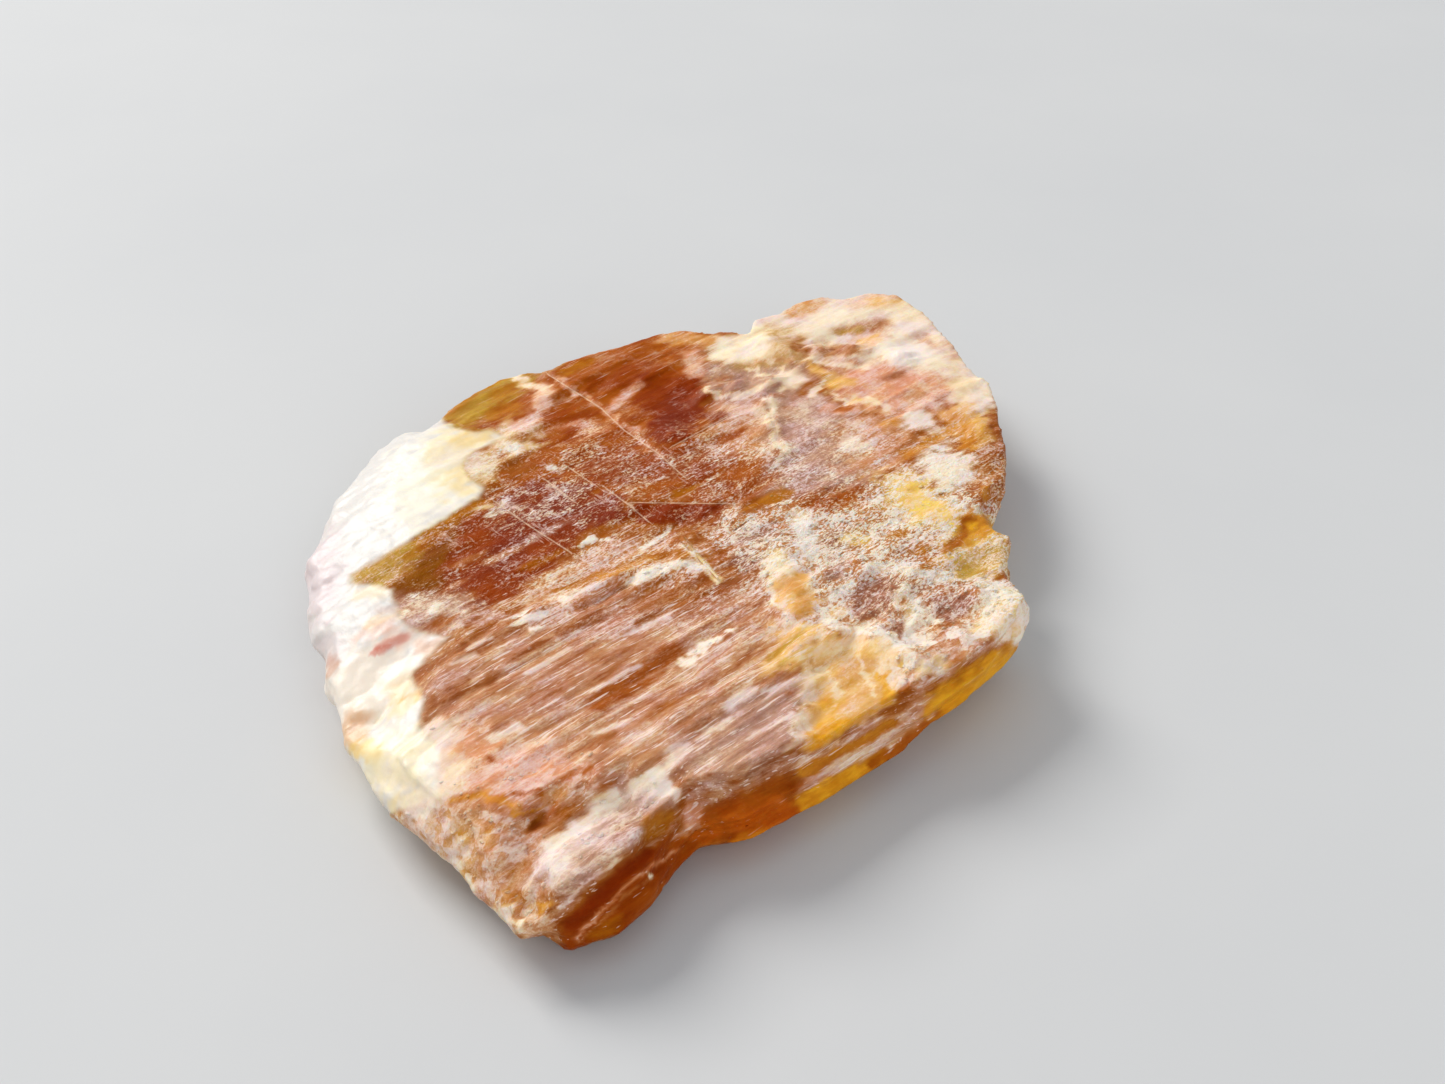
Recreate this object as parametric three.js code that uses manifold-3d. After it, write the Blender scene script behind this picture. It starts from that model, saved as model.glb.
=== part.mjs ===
// A natural chip of orange-brown kyanite with white quartz grown on its left edge, one solid piece.
// It is a slab split along the crystal's perfect cleavage: flat fibrous face up, flat face down,
// lamellar walls at the front, a rounded quartz rim at the left, splintery breaks at the back.
// Millimetres, +Z up. The origin is under the middle of the chip, on the surface that it rests on.

import * as THREE from 'three';
import Module from 'manifold-3d';
import { mergeVertices } from 'three/addons/utils/BufferGeometryUtils.js';

const wasm = await Module();
wasm.setup();

// Driving dimensions

const CHIP_LENGTH = 27.8; // along Y; everything below is drawn close to this size, then fitted to it
const CLEAVAGE_HEIGHT = 2.7; // the good cleavage face above the resting face
const FIBRE_TURN = 43; // degrees anticlockwise from +X to the fibres
const FIBRE_STEP = 0.85; // length of one facet along the fibres
const FIBRE_PITCH = 0.34; // width of one facet across the fibres
const STRIA_DEPTH = 0.05; // half the height of an ordinary stria
const QUARTZ_GRAIN = 0.75; // mean radius of the quartz knobs on the left rim
const KNOB_HEIGHT = 1.35; // the knobs' middles above the resting face
const KNOB_SPREAD = 0.25; // how far a knob strays from that height and size
const CHIPPING = 0.07; // how far the walls stray from their profiles

// Broken edges, from the nose tip anticlockwise. Each run of the outline has one wall profile:
// [inset from the outline, height] pairs from the resting face to above the cleavage face.

const NOSE_FLANK = [
  [1.3, 0], [0.75, 0.25], [0.1, 0.6], [0.0, 0.9], [0.12, 1.2],
  [0.25, 1.4], [0.35, 1.75], [0.65, 1.95], [0.9, 4],
];
const LAMELLAR_WALL = [
  [1.6, 0], [1.0, 0.3], [0.2, 0.7], [0.0, 1.0], [0.25, 1.12],
  [0.27, 1.6], [0.55, 1.72], [0.57, 2.25], [0.85, 4],
];
const STEEP_BREAK = [
  [1.5, 0], [0.9, 0.4], [0.35, 0.9], [0.0, 1.35], [0.12, 1.5],
  [0.1, 1.9], [0.25, 2.0], [0.2, 2.4], [0.3, 4],
];
const KNOBBLY_EDGE = [
  [1.4, 0], [0.9, 0.35], [0.5, 0.8], [0.25, 1.2], [0.1, 1.55],
  [0.0, 1.9], [0.05, 2.2], [0.3, 2.5], [0.5, 4],
];
const FAR_BREAK = [
  [1.2, 0], [0.8, 0.35], [0.3, 0.7], [0.35, 1.15], [0.1, 1.45],
  [0.2, 1.9], [0.0, 2.15], [0.0, 2.5], [0.1, 4],
];
const QUARTZ_RIM = [
  [1.7, 0], [1.0, 0.3], [0.4, 0.75], [0.1, 1.15], [0.0, 1.5],
  [0.15, 1.85], [0.55, 2.2], [1.1, 2.45], [1.5, 4],
];
const LEDGE_RIM = [
  [1.6, 0], [1.0, 0.35], [0.45, 0.7], [0.1, 1.05], [0.0, 1.35],
  [0.1, 1.6], [0.35, 1.9], [0.6, 2.2], [0.7, 4],
];
const RINGS = NOSE_FLANK.length;

const EDGE_RUNS = [
  { profile: NOSE_FLANK, points: [[-1.8, -13.75], [-0.7, -13.35], [0.1, -12.5], [0.6, -11.4]] },
  {
    profile: LAMELLAR_WALL,
    points: [[1.15, -10.7], [2.3, -10.5], [3.4, -9.8], [4.5, -9.0], [5.6, -8.1], [6.4, -7.4]],
  },
  { profile: STEEP_BREAK, points: [[7.1, -6.75], [7.9, -6.1], [8.7, -5.3], [9.4, -4.4]] },
  {
    profile: KNOBBLY_EDGE,
    points: [
      [9.95, -3.8], [10.2, -3.1], [10.0, -2.4], [9.8, -1.6], [9.8, -0.7],
      [10.0, 0.2], [9.65, 0.6], [9.55, 1.1], [9.75, 1.8],
    ],
  },
  {
    profile: FAR_BREAK,
    points: [
      [10.15, 2.7], [10.35, 4.2], [10.35, 5.7], [10.45, 7.1], [10.3, 8.4], [9.8, 9.4], [9.35, 10.6],
      [8.95, 11.8], [8.6, 12.8], [7.8, 13.7], [6.9, 14.0], [6.0, 13.7], [5.1, 13.7], [4.3, 13.2],
      [3.6, 12.4], [2.8, 12.0], [2.6, 11.1], [1.3, 11.1], [0.4, 11.3], [-0.4, 11.1], [-1.8, 10.2],
      [-3.2, 9.4], [-4.0, 9.0], [-4.8, 8.9], [-5.5, 8.6], [-6.1, 7.9], [-6.7, 7.2], [-7.1, 6.6],
    ],
  },
  {
    profile: QUARTZ_RIM,
    points: [
      [-7.9, 6.5], [-8.6, 6.1], [-9.1, 5.3], [-9.45, 4.3], [-9.8, 3.4], [-10.05, 2.5], [-10.1, 1.5],
      [-10.15, 0.5], [-10.35, -0.5], [-9.95, -1.5], [-9.85, -2.6], [-9.55, -3.6], [-9.05, -4.4],
      [-8.9, -5.4], [-8.4, -6.2], [-8.1, -6.9], [-7.95, -7.7], [-7.4, -8.4],
    ],
  },
  {
    profile: LEDGE_RIM,
    points: [
      [-7.05, -9.1], [-6.5, -9.8], [-6.0, -10.4], [-5.0, -11.4], [-4.5, -11.8], [-4.1, -12.4],
      [-3.3, -13.4], [-2.9, -13.8], [-2.4, -13.65],
    ],
  },
];

// The face's relief. Plates are lamellae left standing (or split away, where rise is negative).

const PLATES = [
  {
    name: 'wine-red plate',
    rise: -0.14,
    soft: 0.2,
    outline: [
      [-8.3, -2.4], [-5.4, 1.4], [-4.2, 4.2], [-3.4, 7.6], [1.0, 8.2], [2.0, 4.8], [2.4, 1.4],
      [0.8, -1.2], [-0.4, -1.9], [-1.8, -2.6], [-4.2, -3.8], [-6.6, -4.2],
    ],
  },
  {
    name: 'amber recess',
    rise: -0.3,
    soft: 0.15,
    outline: [[3.6, -9.6], [3.7, -8.0], [4.1, -5.6], [5.2, -5.0], [6.4, -5.7], [6.3, -7.2], [5.6, -8.6]],
  },
  {
    name: 'front apron',
    rise: -0.15,
    soft: 1.2,
    outline: [[-8, -6.5], [-4, -9.0], [0, -9.6], [1.5, -15], [-8, -15]],
  },
  {
    name: 'front ledge',
    rise: -0.5,
    soft: 0.5,
    outline: [[-8, -9.6], [-6.0, -9.7], [-4.9, -10.8], [-3.9, -11.4], [-3.0, -11.6], [-2.2, -14], [-6, -14]],
  },
  {
    name: 'nose',
    rise: -0.4,
    soft: 0.6,
    outline: [
      [-3.0, -11.6], [-1.9, -10.4], [-0.7, -9.9], [0.5, -10.2], [1.0, -10.3], [1.6, -12], [0, -15],
      [-3.4, -15],
    ],
  },
  {
    name: 'nose tip',
    rise: -0.35,
    soft: 0.8,
    outline: [[-3.8, -12.8], [-2.4, -12.9], [-0.6, -13.6], [0, -15], [-4, -15]],
  },
  {
    name: 'olive corner',
    rise: -0.3,
    soft: 0.5,
    outline: [[8.2, -2.6], [8.4, -0.6], [9.1, 0.9], [11, 0.9], [11, -2.6]],
  },
  {
    name: 'back right shoulder',
    rise: -0.12,
    soft: 0.8,
    outline: [[8.8, 2.4], [9.2, 5.6], [9.0, 8.6], [7.6, 10.6], [8.6, 14], [12, 12], [12, 2]],
  },
  {
    name: 'honey tab',
    rise: -0.2,
    soft: 0.6,
    outline: [[-7.4, 5.6], [-5.2, 5.4], [-4.4, 7.2], [-3.6, 9.6], [-8, 9.6]],
  },
];

// Ridges are the raised lips and crests between the plates. Where height is negative the edge along
// the path is rounded off.

const RIDGES = [
  {
    name: 'rounded quartz edge',
    height: -0.75,
    width: 1.2,
    path: [[-8.6, 6.6], [-9.6, 5.1], [-10.0, 2.5], [-10.3, -0.5], [-9.6, -3.6], [-8.4, -6.2], [-7.4, -8.4]],
  },
  {
    name: 'rounded right edge',
    height: -0.2,
    width: 0.5,
    path: [[9.9, 9.8], [10.6, 7.0], [10.4, 3.0]],
  },
  {
    name: 'white lip',
    height: 0.28,
    width: 0.26,
    path: [[-1.9, -3.0], [-0.6, -2.1], [0.5, -1.8], [1.4, -2.3]],
  },
  { name: 'cream splinter', height: 0.25, width: 0.17, path: [[0.6, -0.6], [1.6, -2.6]] },
  {
    name: 'cream step',
    height: 0.16,
    width: 0.3,
    path: [[-5.0, -4.6], [-3.6, -4.2], [-2.6, -3.8]],
  },
  {
    name: 'amber crest',
    height: 0.22,
    width: 0.3,
    path: [[3.9, -5.3], [4.6, -4.9], [5.8, -5.1], [6.8, -6.0]],
  },
  {
    name: 'cream vein',
    height: 0.2,
    width: 0.26,
    path: [[4.6, -2.2], [5.8, -2.2], [7.2, -2.4], [8.6, -3.0]],
  },
  { name: 'cross vein', height: 0.18, width: 0.22, path: [[6.5, -2.4], [6.3, -3.6], [6.0, -4.8]] },
  { name: 'tall crack lip', height: 0.22, width: 0.2, path: [[3.2, 7.6], [3.2, 5.6], [3.4, 3.6]] },
  {
    name: 'wavy lip',
    height: 0.3,
    width: 0.24,
    path: [[1.1, 7.4], [2.2, 7.6], [3.1, 7.6], [3.4, 8.3]],
  },
  {
    name: 'back lip',
    height: 0.3,
    width: 0.35,
    path: [[3.2, 10.6], [3.9, 9.6], [5.2, 9.9], [6.6, 9.8], [7.6, 9.4]],
  },
  { name: 'wine step', height: 0.12, width: 0.2, path: [[-1.2, 1.2], [0.4, 1.15], [1.9, 1.1]] },
  {
    name: 'nose crest',
    height: 0.25,
    width: 0.55,
    path: [[0.3, -11.2], [-0.9, -12.1], [-2.0, -13.0]],
  },
  { name: 'nose lip', height: 0.2, width: 0.25, path: [[-1.6, -10.1], [-0.4, -9.6], [0.6, -10.1]] },
  { name: 'lens', height: 0.28, width: 0.5, path: [[3.3, -1.4], [3.6, -2.9], [3.7, -4.0]] },
  { name: 'fan rib', height: 0.2, width: 0.28, path: [[-0.6, 5.4], [0.6, 4.6], [1.8, 5.8]] },
  { name: 'mauve rib', height: 0.16, width: 0.3, path: [[0.4, -8.2], [1.8, -7.2], [3.2, -6.4]] },
];

// Hollows are shell-shaped pits and the windows between the crests.

const HOLLOWS = [
  { name: 'pin pit', depth: 0.5, at: [-2.8, -11.1], radii: [0.45, 0.35], turn: 35 },
  { name: 'brown window', depth: 0.22, at: [5.7, -3.6], radii: [0.7, 1.2], turn: -20 },
  { name: 'mauve window', depth: 0.22, at: [6.8, -4.6], radii: [0.6, 0.9], turn: -30 },
  { name: 'far window', depth: 0.22, at: [7.9, -3.8], radii: [1.1, 0.6], turn: -20 },
  { name: 'back valley', depth: 0.3, at: [5.8, 10.9], radii: [1.3, 0.8], turn: 25 },
  { name: 'tan valley', depth: 0.3, at: [2.4, 8.6], radii: [1.5, 0.5], turn: 5 },
  { name: 'fibre trough', depth: 0.2, at: [0.4, -6.2], radii: [2.2, 0.5], turn: 45 },
  { name: 'orange pocket', depth: 0.25, at: [8.6, 5.3], radii: [0.9, 1.3], turn: 15 },
  { name: 'quartz saddle', depth: 0.35, at: [-7.0, -6.2], radii: [1.2, 2.2], turn: -30 },
  { name: 'quartz hollow', depth: 0.2, at: [-8.4, -1.0], radii: [1.1, 1.8], turn: 10 },
];

// Steps split out of the resting face, leaving the middle of it flat.

const UNDER_STEPS = [
  {
    name: 'under step at the back',
    rise: 0.4,
    outline: [[-9, 3.0], [-2.5, 5.2], [3.5, 9.5], [3, 14], [-9, 14]],
  },
  {
    name: 'under step at the right',
    rise: 0.55,
    outline: [[6.4, -7], [7.6, -1.5], [7.2, 3.5], [12, 4], [12, -8]],
  },
  {
    name: 'under step at the nose',
    rise: 0.3,
    outline: [[-6, -9.6], [-2.2, -10.8], [2.4, -9.0], [2, -15], [-7, -15]],
  },
];

// A repeatable number from -1 to 1 for a pair of whole numbers, for small accidents of breakage.
function accident(i, j) {
  const wave = Math.sin(i * 127.1 + j * 311.7) * 43758.5453;
  return 2 * (wave - Math.floor(wave)) - 1;
}

function smoothstep(value) {
  const t = THREE.MathUtils.clamp(value, 0, 1);
  return t * t * (3 - 2 * t);
}

// Distance from a point to the piece of line from a to b.
function distanceToSegment(x, y, a, b) {
  const dx = b[0] - a[0];
  const dy = b[1] - a[1];
  const along = THREE.MathUtils.clamp(((x - a[0]) * dx + (y - a[1]) * dy) / (dx * dx + dy * dy), 0, 1);
  return Math.hypot(x - a[0] - along * dx, y - a[1] - along * dy);
}

function distanceToPath(x, y, path) {
  let nearest = Infinity;
  for (let i = 1; i < path.length; i += 1) {
    nearest = Math.min(nearest, distanceToSegment(x, y, path[i - 1], path[i]));
  }
  return nearest;
}

// Distance to a closed outline, positive inside it.
function depthInside(x, y, outline) {
  let inside = false;
  let nearest = Infinity;
  for (let i = 0; i < outline.length; i += 1) {
    const a = outline[i];
    const b = outline[(i + 1) % outline.length];
    nearest = Math.min(nearest, distanceToSegment(x, y, a, b));
    const crossing = ((b[0] - a[0]) * (y - a[1])) / (b[1] - a[1]) + a[0];
    if ((a[1] > y) !== (b[1] > y) && x < crossing) inside = !inside;
  }
  return inside ? nearest : -nearest;
}

// Coordinates along and across a direction given in degrees anticlockwise from +X.
function turned(x, y, degrees) {
  const angle = THREE.MathUtils.degToRad(degrees);
  return [x * Math.cos(angle) + y * Math.sin(angle), y * Math.cos(angle) - x * Math.sin(angle)];
}

// 1 on the quartz at the left edge and 0 on the kyanite.
function quartzShare(x, y) {
  const border = -5.6 - 0.35 * Math.abs(y + 1);
  return smoothstep((border - x) / 1.5 + 0.5);
}

// Height of the split face, with its plates, crests, hollows and fibres.
function faceHeight(x, y) {
  let height = CLEAVAGE_HEIGHT;
  for (const plate of PLATES) {
    height += plate.rise * smoothstep(0.5 + depthInside(x, y, plate.outline) / plate.soft / 2);
  }
  for (const ridge of RIDGES) {
    height += ridge.height * Math.exp(-((distanceToPath(x, y, ridge.path) / ridge.width) ** 2));
  }
  for (const hollow of HOLLOWS) {
    const [u, v] = turned(x - hollow.at[0], y - hollow.at[1], hollow.turn);
    height -= hollow.depth * smoothstep(1.3 - Math.hypot(u / hollow.radii[0], v / hollow.radii[1]));
  }
  const [along, across] = turned(x, y, FIBRE_TURN);
  const lane = Math.round(across / FIBRE_PITCH);
  const stretch = Math.round(along / FIBRE_STEP / 3);
  const stria = accident(lane, 7) * (1 - quartzShare(x, y)) + 0.6 * accident(lane, stretch);
  return height + STRIA_DEPTH * stria;
}

// manifold-3d solid of a closed three.js geometry.
function solidOf(geometry) {
  const bare = geometry.clone();
  bare.deleteAttribute('normal');
  bare.deleteAttribute('uv');
  const merged = mergeVertices(bare, 1e-4);
  return new wasm.Manifold(
    new wasm.Mesh({
      numProp: 3,
      vertProperties: new Float32Array(merged.attributes.position.array),
      triVerts: new Uint32Array(merged.index.array),
    }),
  );
}

function geometryOf(solid) {
  const mesh = solid.getMesh();
  const geometry = new THREE.BufferGeometry();
  geometry.setAttribute('position', new THREE.BufferAttribute(new Float32Array(mesh.vertProperties), 3));
  geometry.setIndex(new THREE.BufferAttribute(new Uint32Array(mesh.triVerts), 1));
  const flat = geometry.toNonIndexed();
  flat.computeVertexNormals();
  return flat;
}

// Corners of the outline with their wall profile and outward direction.
const corners = EDGE_RUNS.flatMap((run) => run.points.map((point) => ({ point, profile: run.profile })));
corners.forEach((corner, i) => {
  const before = corners[(i + corners.length - 1) % corners.length].point;
  const after = corners[(i + 1) % corners.length].point;
  corner.outward = new THREE.Vector2(after[1] - before[1], before[0] - after[0]).normalize();
});

// The broken walls: a cylinder whose rings are drawn out to the outline, each at its own inset.
function makeWalls() {
  const geometry = new THREE.CylinderGeometry(1, 1, RINGS - 1, corners.length, RINGS - 1);
  geometry.rotateX(Math.PI / 2);
  const position = geometry.attributes.position;
  for (let i = 0; i < position.count; i += 1) {
    const x = position.getX(i);
    const y = position.getY(i);
    const ring = Math.round(position.getZ(i) + (RINGS - 1) / 2);
    if (Math.hypot(x, y) < 0.5) {
      position.setXYZ(i, 0, 0, NOSE_FLANK[ring][1]);
      continue;
    }
    const turn = (Math.atan2(x, -y) / (2 * Math.PI) + 1) % 1;
    const index = Math.round(turn * corners.length) % corners.length;
    const corner = corners[index];
    const [inset, height] = corner.profile[ring];
    const rough = ring === 0 || ring === RINGS - 1 ? 0 : 1;
    const chipped = inset + CHIPPING * rough * accident(index, ring);
    position.setXYZ(
      i,
      corner.point[0] - corner.outward.x * chipped,
      corner.point[1] - corner.outward.y * chipped,
      height + CHIPPING * rough * accident(ring, index),
    );
  }
  return solidOf(geometry);
}

// The split face: a block, its long facets laid along the fibres, with the relief on its top.
function makeFace() {
  const size = 1.35 * CHIP_LENGTH; // reaches past the outline at any turn
  const alongCount = Math.round(size / FIBRE_STEP);
  const acrossCount = Math.round(size / FIBRE_PITCH);
  const geometry = new THREE.BoxGeometry(size, size, 6, alongCount, acrossCount, 1);
  geometry.rotateZ(THREE.MathUtils.degToRad(FIBRE_TURN));
  const position = geometry.attributes.position;
  for (let i = 0; i < position.count; i += 1) {
    if (position.getZ(i) > 0) position.setZ(i, faceHeight(position.getX(i), position.getY(i)));
  }
  return solidOf(geometry);
}

// Rounded knobs of quartz along the left rim, flattened and no two alike.
function makeKnob(corner, index) {
  const radius = QUARTZ_GRAIN * (1 + KNOB_SPREAD * accident(index, 3));
  const knob = new THREE.IcosahedronGeometry(radius, 2);
  const position = knob.attributes.position;
  const push = new THREE.Vector3();
  for (let i = 0; i < position.count; i += 1) {
    push.fromBufferAttribute(position, i);
    const facet = accident(Math.round(push.x * 20), Math.round(push.y * 20) + Math.round(push.z * 20));
    push.multiplyScalar(1 + 0.05 * facet);
    position.setXYZ(i, push.x, push.y, push.z * 0.8);
  }
  const inset = 1.02 * radius; // just inside the outline
  knob.translate(
    corner.point[0] - corner.outward.x * inset,
    corner.point[1] - corner.outward.y * inset,
    KNOB_HEIGHT + KNOB_SPREAD * accident(index, 5),
  );
  return solidOf(knob);
}

// A block that splits one step out of the resting face.
function makeUnderStep(step) {
  const shape = new THREE.Shape(step.outline.map(([x, y]) => new THREE.Vector2(x, y)));
  const block = new THREE.ExtrudeGeometry(shape, { depth: 2, bevelEnabled: false });
  block.translate(0, 0, step.rise - 2);
  return solidOf(block);
}

let chip = makeWalls().intersect(makeFace());
corners.forEach((corner, index) => {
  if (corner.profile === QUARTZ_RIM) chip = chip.add(makeKnob(corner, index));
});
for (const step of UNDER_STEPS) chip = chip.subtract(makeUnderStep(step));

const geometry = geometryOf(chip);
geometry.computeBoundingBox();
const drawn = geometry.boundingBox.getSize(new THREE.Vector3());
const middle = geometry.boundingBox.getCenter(new THREE.Vector3());
const fit = CHIP_LENGTH / drawn.y;
geometry.translate(-middle.x, -middle.y, -geometry.boundingBox.min.z);
geometry.scale(fit, fit, fit);

const kyanite = new THREE.MeshStandardMaterial({ color: 0xa8603a, roughness: 0.5, metalness: 0 });
const crystal = new THREE.Mesh(geometry, kyanite);
crystal.name = 'kyanite_crystal';

const group = new THREE.Group();
group.add(crystal);

export default group;
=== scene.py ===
"""A chip of orange-brown kyanite with white quartz on its left edge, lying on a pale floor."""
import itertools
import math

import bmesh
import bpy
import numpy as np
from mathutils import Euler, Matrix, Vector


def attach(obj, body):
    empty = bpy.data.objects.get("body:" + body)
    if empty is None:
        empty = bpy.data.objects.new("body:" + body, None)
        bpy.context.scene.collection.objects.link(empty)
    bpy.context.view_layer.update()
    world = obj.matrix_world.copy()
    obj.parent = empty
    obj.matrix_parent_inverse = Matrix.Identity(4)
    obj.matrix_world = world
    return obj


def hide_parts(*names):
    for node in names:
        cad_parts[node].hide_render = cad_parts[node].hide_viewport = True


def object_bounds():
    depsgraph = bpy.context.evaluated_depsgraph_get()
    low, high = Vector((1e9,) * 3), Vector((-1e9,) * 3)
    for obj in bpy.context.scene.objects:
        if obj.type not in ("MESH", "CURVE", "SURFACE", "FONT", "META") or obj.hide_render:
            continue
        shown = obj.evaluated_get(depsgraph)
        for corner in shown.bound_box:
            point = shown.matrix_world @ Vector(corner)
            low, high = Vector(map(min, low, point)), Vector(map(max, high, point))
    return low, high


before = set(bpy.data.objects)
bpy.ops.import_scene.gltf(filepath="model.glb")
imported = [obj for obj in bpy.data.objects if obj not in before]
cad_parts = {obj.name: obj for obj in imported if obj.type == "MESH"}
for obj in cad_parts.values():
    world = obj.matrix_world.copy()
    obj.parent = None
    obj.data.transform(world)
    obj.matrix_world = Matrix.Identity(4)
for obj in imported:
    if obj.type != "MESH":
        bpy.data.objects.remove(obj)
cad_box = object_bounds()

# ---------------------------------------------------------------------------------------------
# The view: a camera just in front of the chip, looking down on its split face, a pale floor that
# runs out of sight, and one large soft light behind the chip on the left, as from a window.
# ---------------------------------------------------------------------------------------------
MM = 0.001
AIM = Vector((1.63, 2.86, 0)) * MM
LOOK_DOWN = math.radians(36.5)
CAMERA_DISTANCE = 55 * MM
FRAME_ANGLE = math.radians(44)

camera = bpy.data.objects.new("camera", bpy.data.cameras.new("camera"))
camera.data.sensor_fit = "HORIZONTAL"
camera.data.angle = FRAME_ANGLE
camera.data.clip_start = 1 * MM
camera.data.clip_end = 20
camera.rotation_euler = Euler((math.pi / 2 - LOOK_DOWN, 0, 0))
back_off = Vector((0, -math.cos(LOOK_DOWN), math.sin(LOOK_DOWN)))
camera.location = AIM + back_off * CAMERA_DISTANCE
bpy.context.scene.collection.objects.link(camera)
bpy.context.scene.camera = camera


def add_light(name, place, size, watts, colour):
    """A square soft light, its place and size in millimetres, turned to the chip."""
    light = bpy.data.objects.new(name, bpy.data.lights.new(name, "AREA"))
    light.data.size = size * MM
    light.data.energy = watts
    light.data.color = colour
    light.location = Vector(place) * MM
    light.rotation_euler = light.location.to_track_quat("Z", "Y").to_euler()
    bpy.context.scene.collection.objects.link(light)


add_light("window", place=(-430, 470, 480), size=380, watts=4.4, colour=(1.0, 0.98, 0.95))
add_light("front_fill", place=(250, -600, 420), size=600, watts=1.5, colour=(0.96, 0.98, 1.0))

ROOM_COLOUR = (0.93, 0.96, 1.0, 1)
ROOM_STRENGTH = 0.42
world = bpy.data.worlds.new("room")
world.use_nodes = True
room_light = world.node_tree.nodes["Background"]
room_light.inputs["Color"].default_value = ROOM_COLOUR
room_light.inputs["Strength"].default_value = ROOM_STRENGTH
bpy.context.scene.world = world
bpy.context.scene.view_settings.view_transform = "Standard"
bpy.context.scene.view_settings.look = "Medium High Contrast"

FLOOR_SIDE = 3.0
floor_mesh = bpy.data.meshes.new("floor")
sheet = bmesh.new()
bmesh.ops.create_grid(sheet, x_segments=4, y_segments=4, size=FLOOR_SIDE / 2)
sheet.to_mesh(floor_mesh)
sheet.free()
floor = bpy.data.objects.new("floor", floor_mesh)
bpy.context.scene.collection.objects.link(floor)


class Value:
    """One output of a material's nodes, on which Python's arithmetic adds Math nodes."""

    def __init__(self, finish, socket):
        self.finish = finish
        self.socket = socket

    def maths(self, operation, *others, clamp=False):
        settings = {"operation": operation, "use_clamp": clamp}
        return self.finish.node("Math", settings, dict(enumerate((self, *others))))

    def __add__(self, other):
        return self.maths("ADD", other)

    def __radd__(self, other):
        return self.maths("ADD", other)

    def __sub__(self, other):
        return self.maths("SUBTRACT", other)

    def __rsub__(self, other):
        settings = {"operation": "SUBTRACT"}
        return self.finish.node("Math", settings, {0: other, 1: self})

    def __mul__(self, other):
        return self.maths("MULTIPLY", other)

    def __rmul__(self, other):
        return self.maths("MULTIPLY", other)

    def clamped(self):
        return self.maths("ADD", 0.0, clamp=True)

    def swing(self, gain):
        """How far a pattern is above or below its middle value of 0.5, made stronger."""
        return (self - 0.5) * gain


class Finish:
    """A material, built up node by node."""

    def __init__(self, name):
        self.material = bpy.data.materials.new(name)
        self.material.use_nodes = True
        self.tree = self.material.node_tree
        self.tree.nodes.clear()

    def node(self, kind, settings, inputs, output=0):
        """Adds a node, sets it up, fills its sockets and returns one of its outputs."""
        node = self.tree.nodes.new("ShaderNode" + kind)
        for name, setting in settings.items():
            setattr(node, name, setting)
        for name, value in inputs.items():
            if isinstance(value, Value):
                self.tree.links.new(value.socket, node.inputs[name])
            else:
                node.inputs[name].default_value = value
        return Value(self, node.outputs[output])

    def blend(self, share, first, second):
        """Colour: first where share is 0 and second where it is 1."""
        inputs = {0: share, 6: first, 7: second}
        return self.node("Mix", {"data_type": "RGBA"}, inputs, output=2)

    def stretch(self, vector, factors):
        """A place with each axis scaled: a factor below 1 draws a pattern out along its axis."""
        return self.node("VectorMath", {"operation": "MULTIPLY"}, {0: vector, 1: factors})

    def noise(self, vector, scale, detail=3.0, roughness=0.55, offset=0.0):
        """Cloudy noise around 0.5."""
        if offset:
            vector = self.node("VectorMath", {"operation": "ADD"}, {0: vector, 1: (offset,) * 3})
        inputs = {"Vector": vector, "Scale": scale, "Detail": detail, "Roughness": roughness}
        return self.node("TexNoise", {}, inputs)

    def cells(self, vector, scale):
        """A random value for each cell of a crackled pattern."""
        return self.node("TexVoronoi", {}, {"Vector": vector, "Scale": scale}, output=1)

    def level(self, name):
        """The value of one of the mesh's attributes."""
        return self.node("Attribute", {"attribute_name": name}, {}, output=2)

    def output(self, shader):
        """Finishes the material with its shader, and returns it."""
        result = self.tree.nodes.new("ShaderNodeOutputMaterial")
        self.tree.links.new(shader.socket, result.inputs["Surface"])
        return self.material


pale = Finish("pale_floor")
floor_place = pale.node("TexCoord", {}, {}, output=3)
floor_mottle = pale.noise(floor_place, 60.0, 4.0)
floor_colour = pale.blend(floor_mottle, (0.60, 0.605, 0.61, 1), (0.66, 0.66, 0.655, 1))
floor_shader = pale.node("BsdfPrincipled", {}, {"Base Color": floor_colour, "Roughness": 0.7})
floor_mesh.materials.append(pale.output(floor_shader))

# ---------------------------------------------------------------------------------------------
# The chip: a slab split from a kyanite crystal, wine-red to honey and tan, with white quartz
# grown on its left edge. It is one stone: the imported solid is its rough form, and the splinters,
# grains, cracks and crumbs of its surface are worked into a finer copy of that solid.
# ---------------------------------------------------------------------------------------------
# Sizes and places on the chip are in millimetres.
FIBRE_TURN = math.radians(43)
FIBRE_AXES = np.array([
    (math.cos(FIBRE_TURN), math.sin(FIBRE_TURN), 0),
    (-math.sin(FIBRE_TURN), math.cos(FIBRE_TURN), 0),
    (0, 0, 1),
])
FACE_HEIGHT = 2.7
SKIN_CELL = 0.066
CELL_STRETCH = 2.0


def scatter(lattice, directions, seed):
    """Numbers from 0 to 1 that look random, but are always the same for a lattice point."""
    wave = np.sin(lattice @ np.array(directions) + seed) * 43758.5453
    return wave - np.floor(wave)


def smooth(value):
    """A soft step: 0 up to a value of 0, and 1 from a value of 1 on."""
    t = np.clip(value, 0, 1)
    return t * t * (3 - 2 * t)


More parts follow.
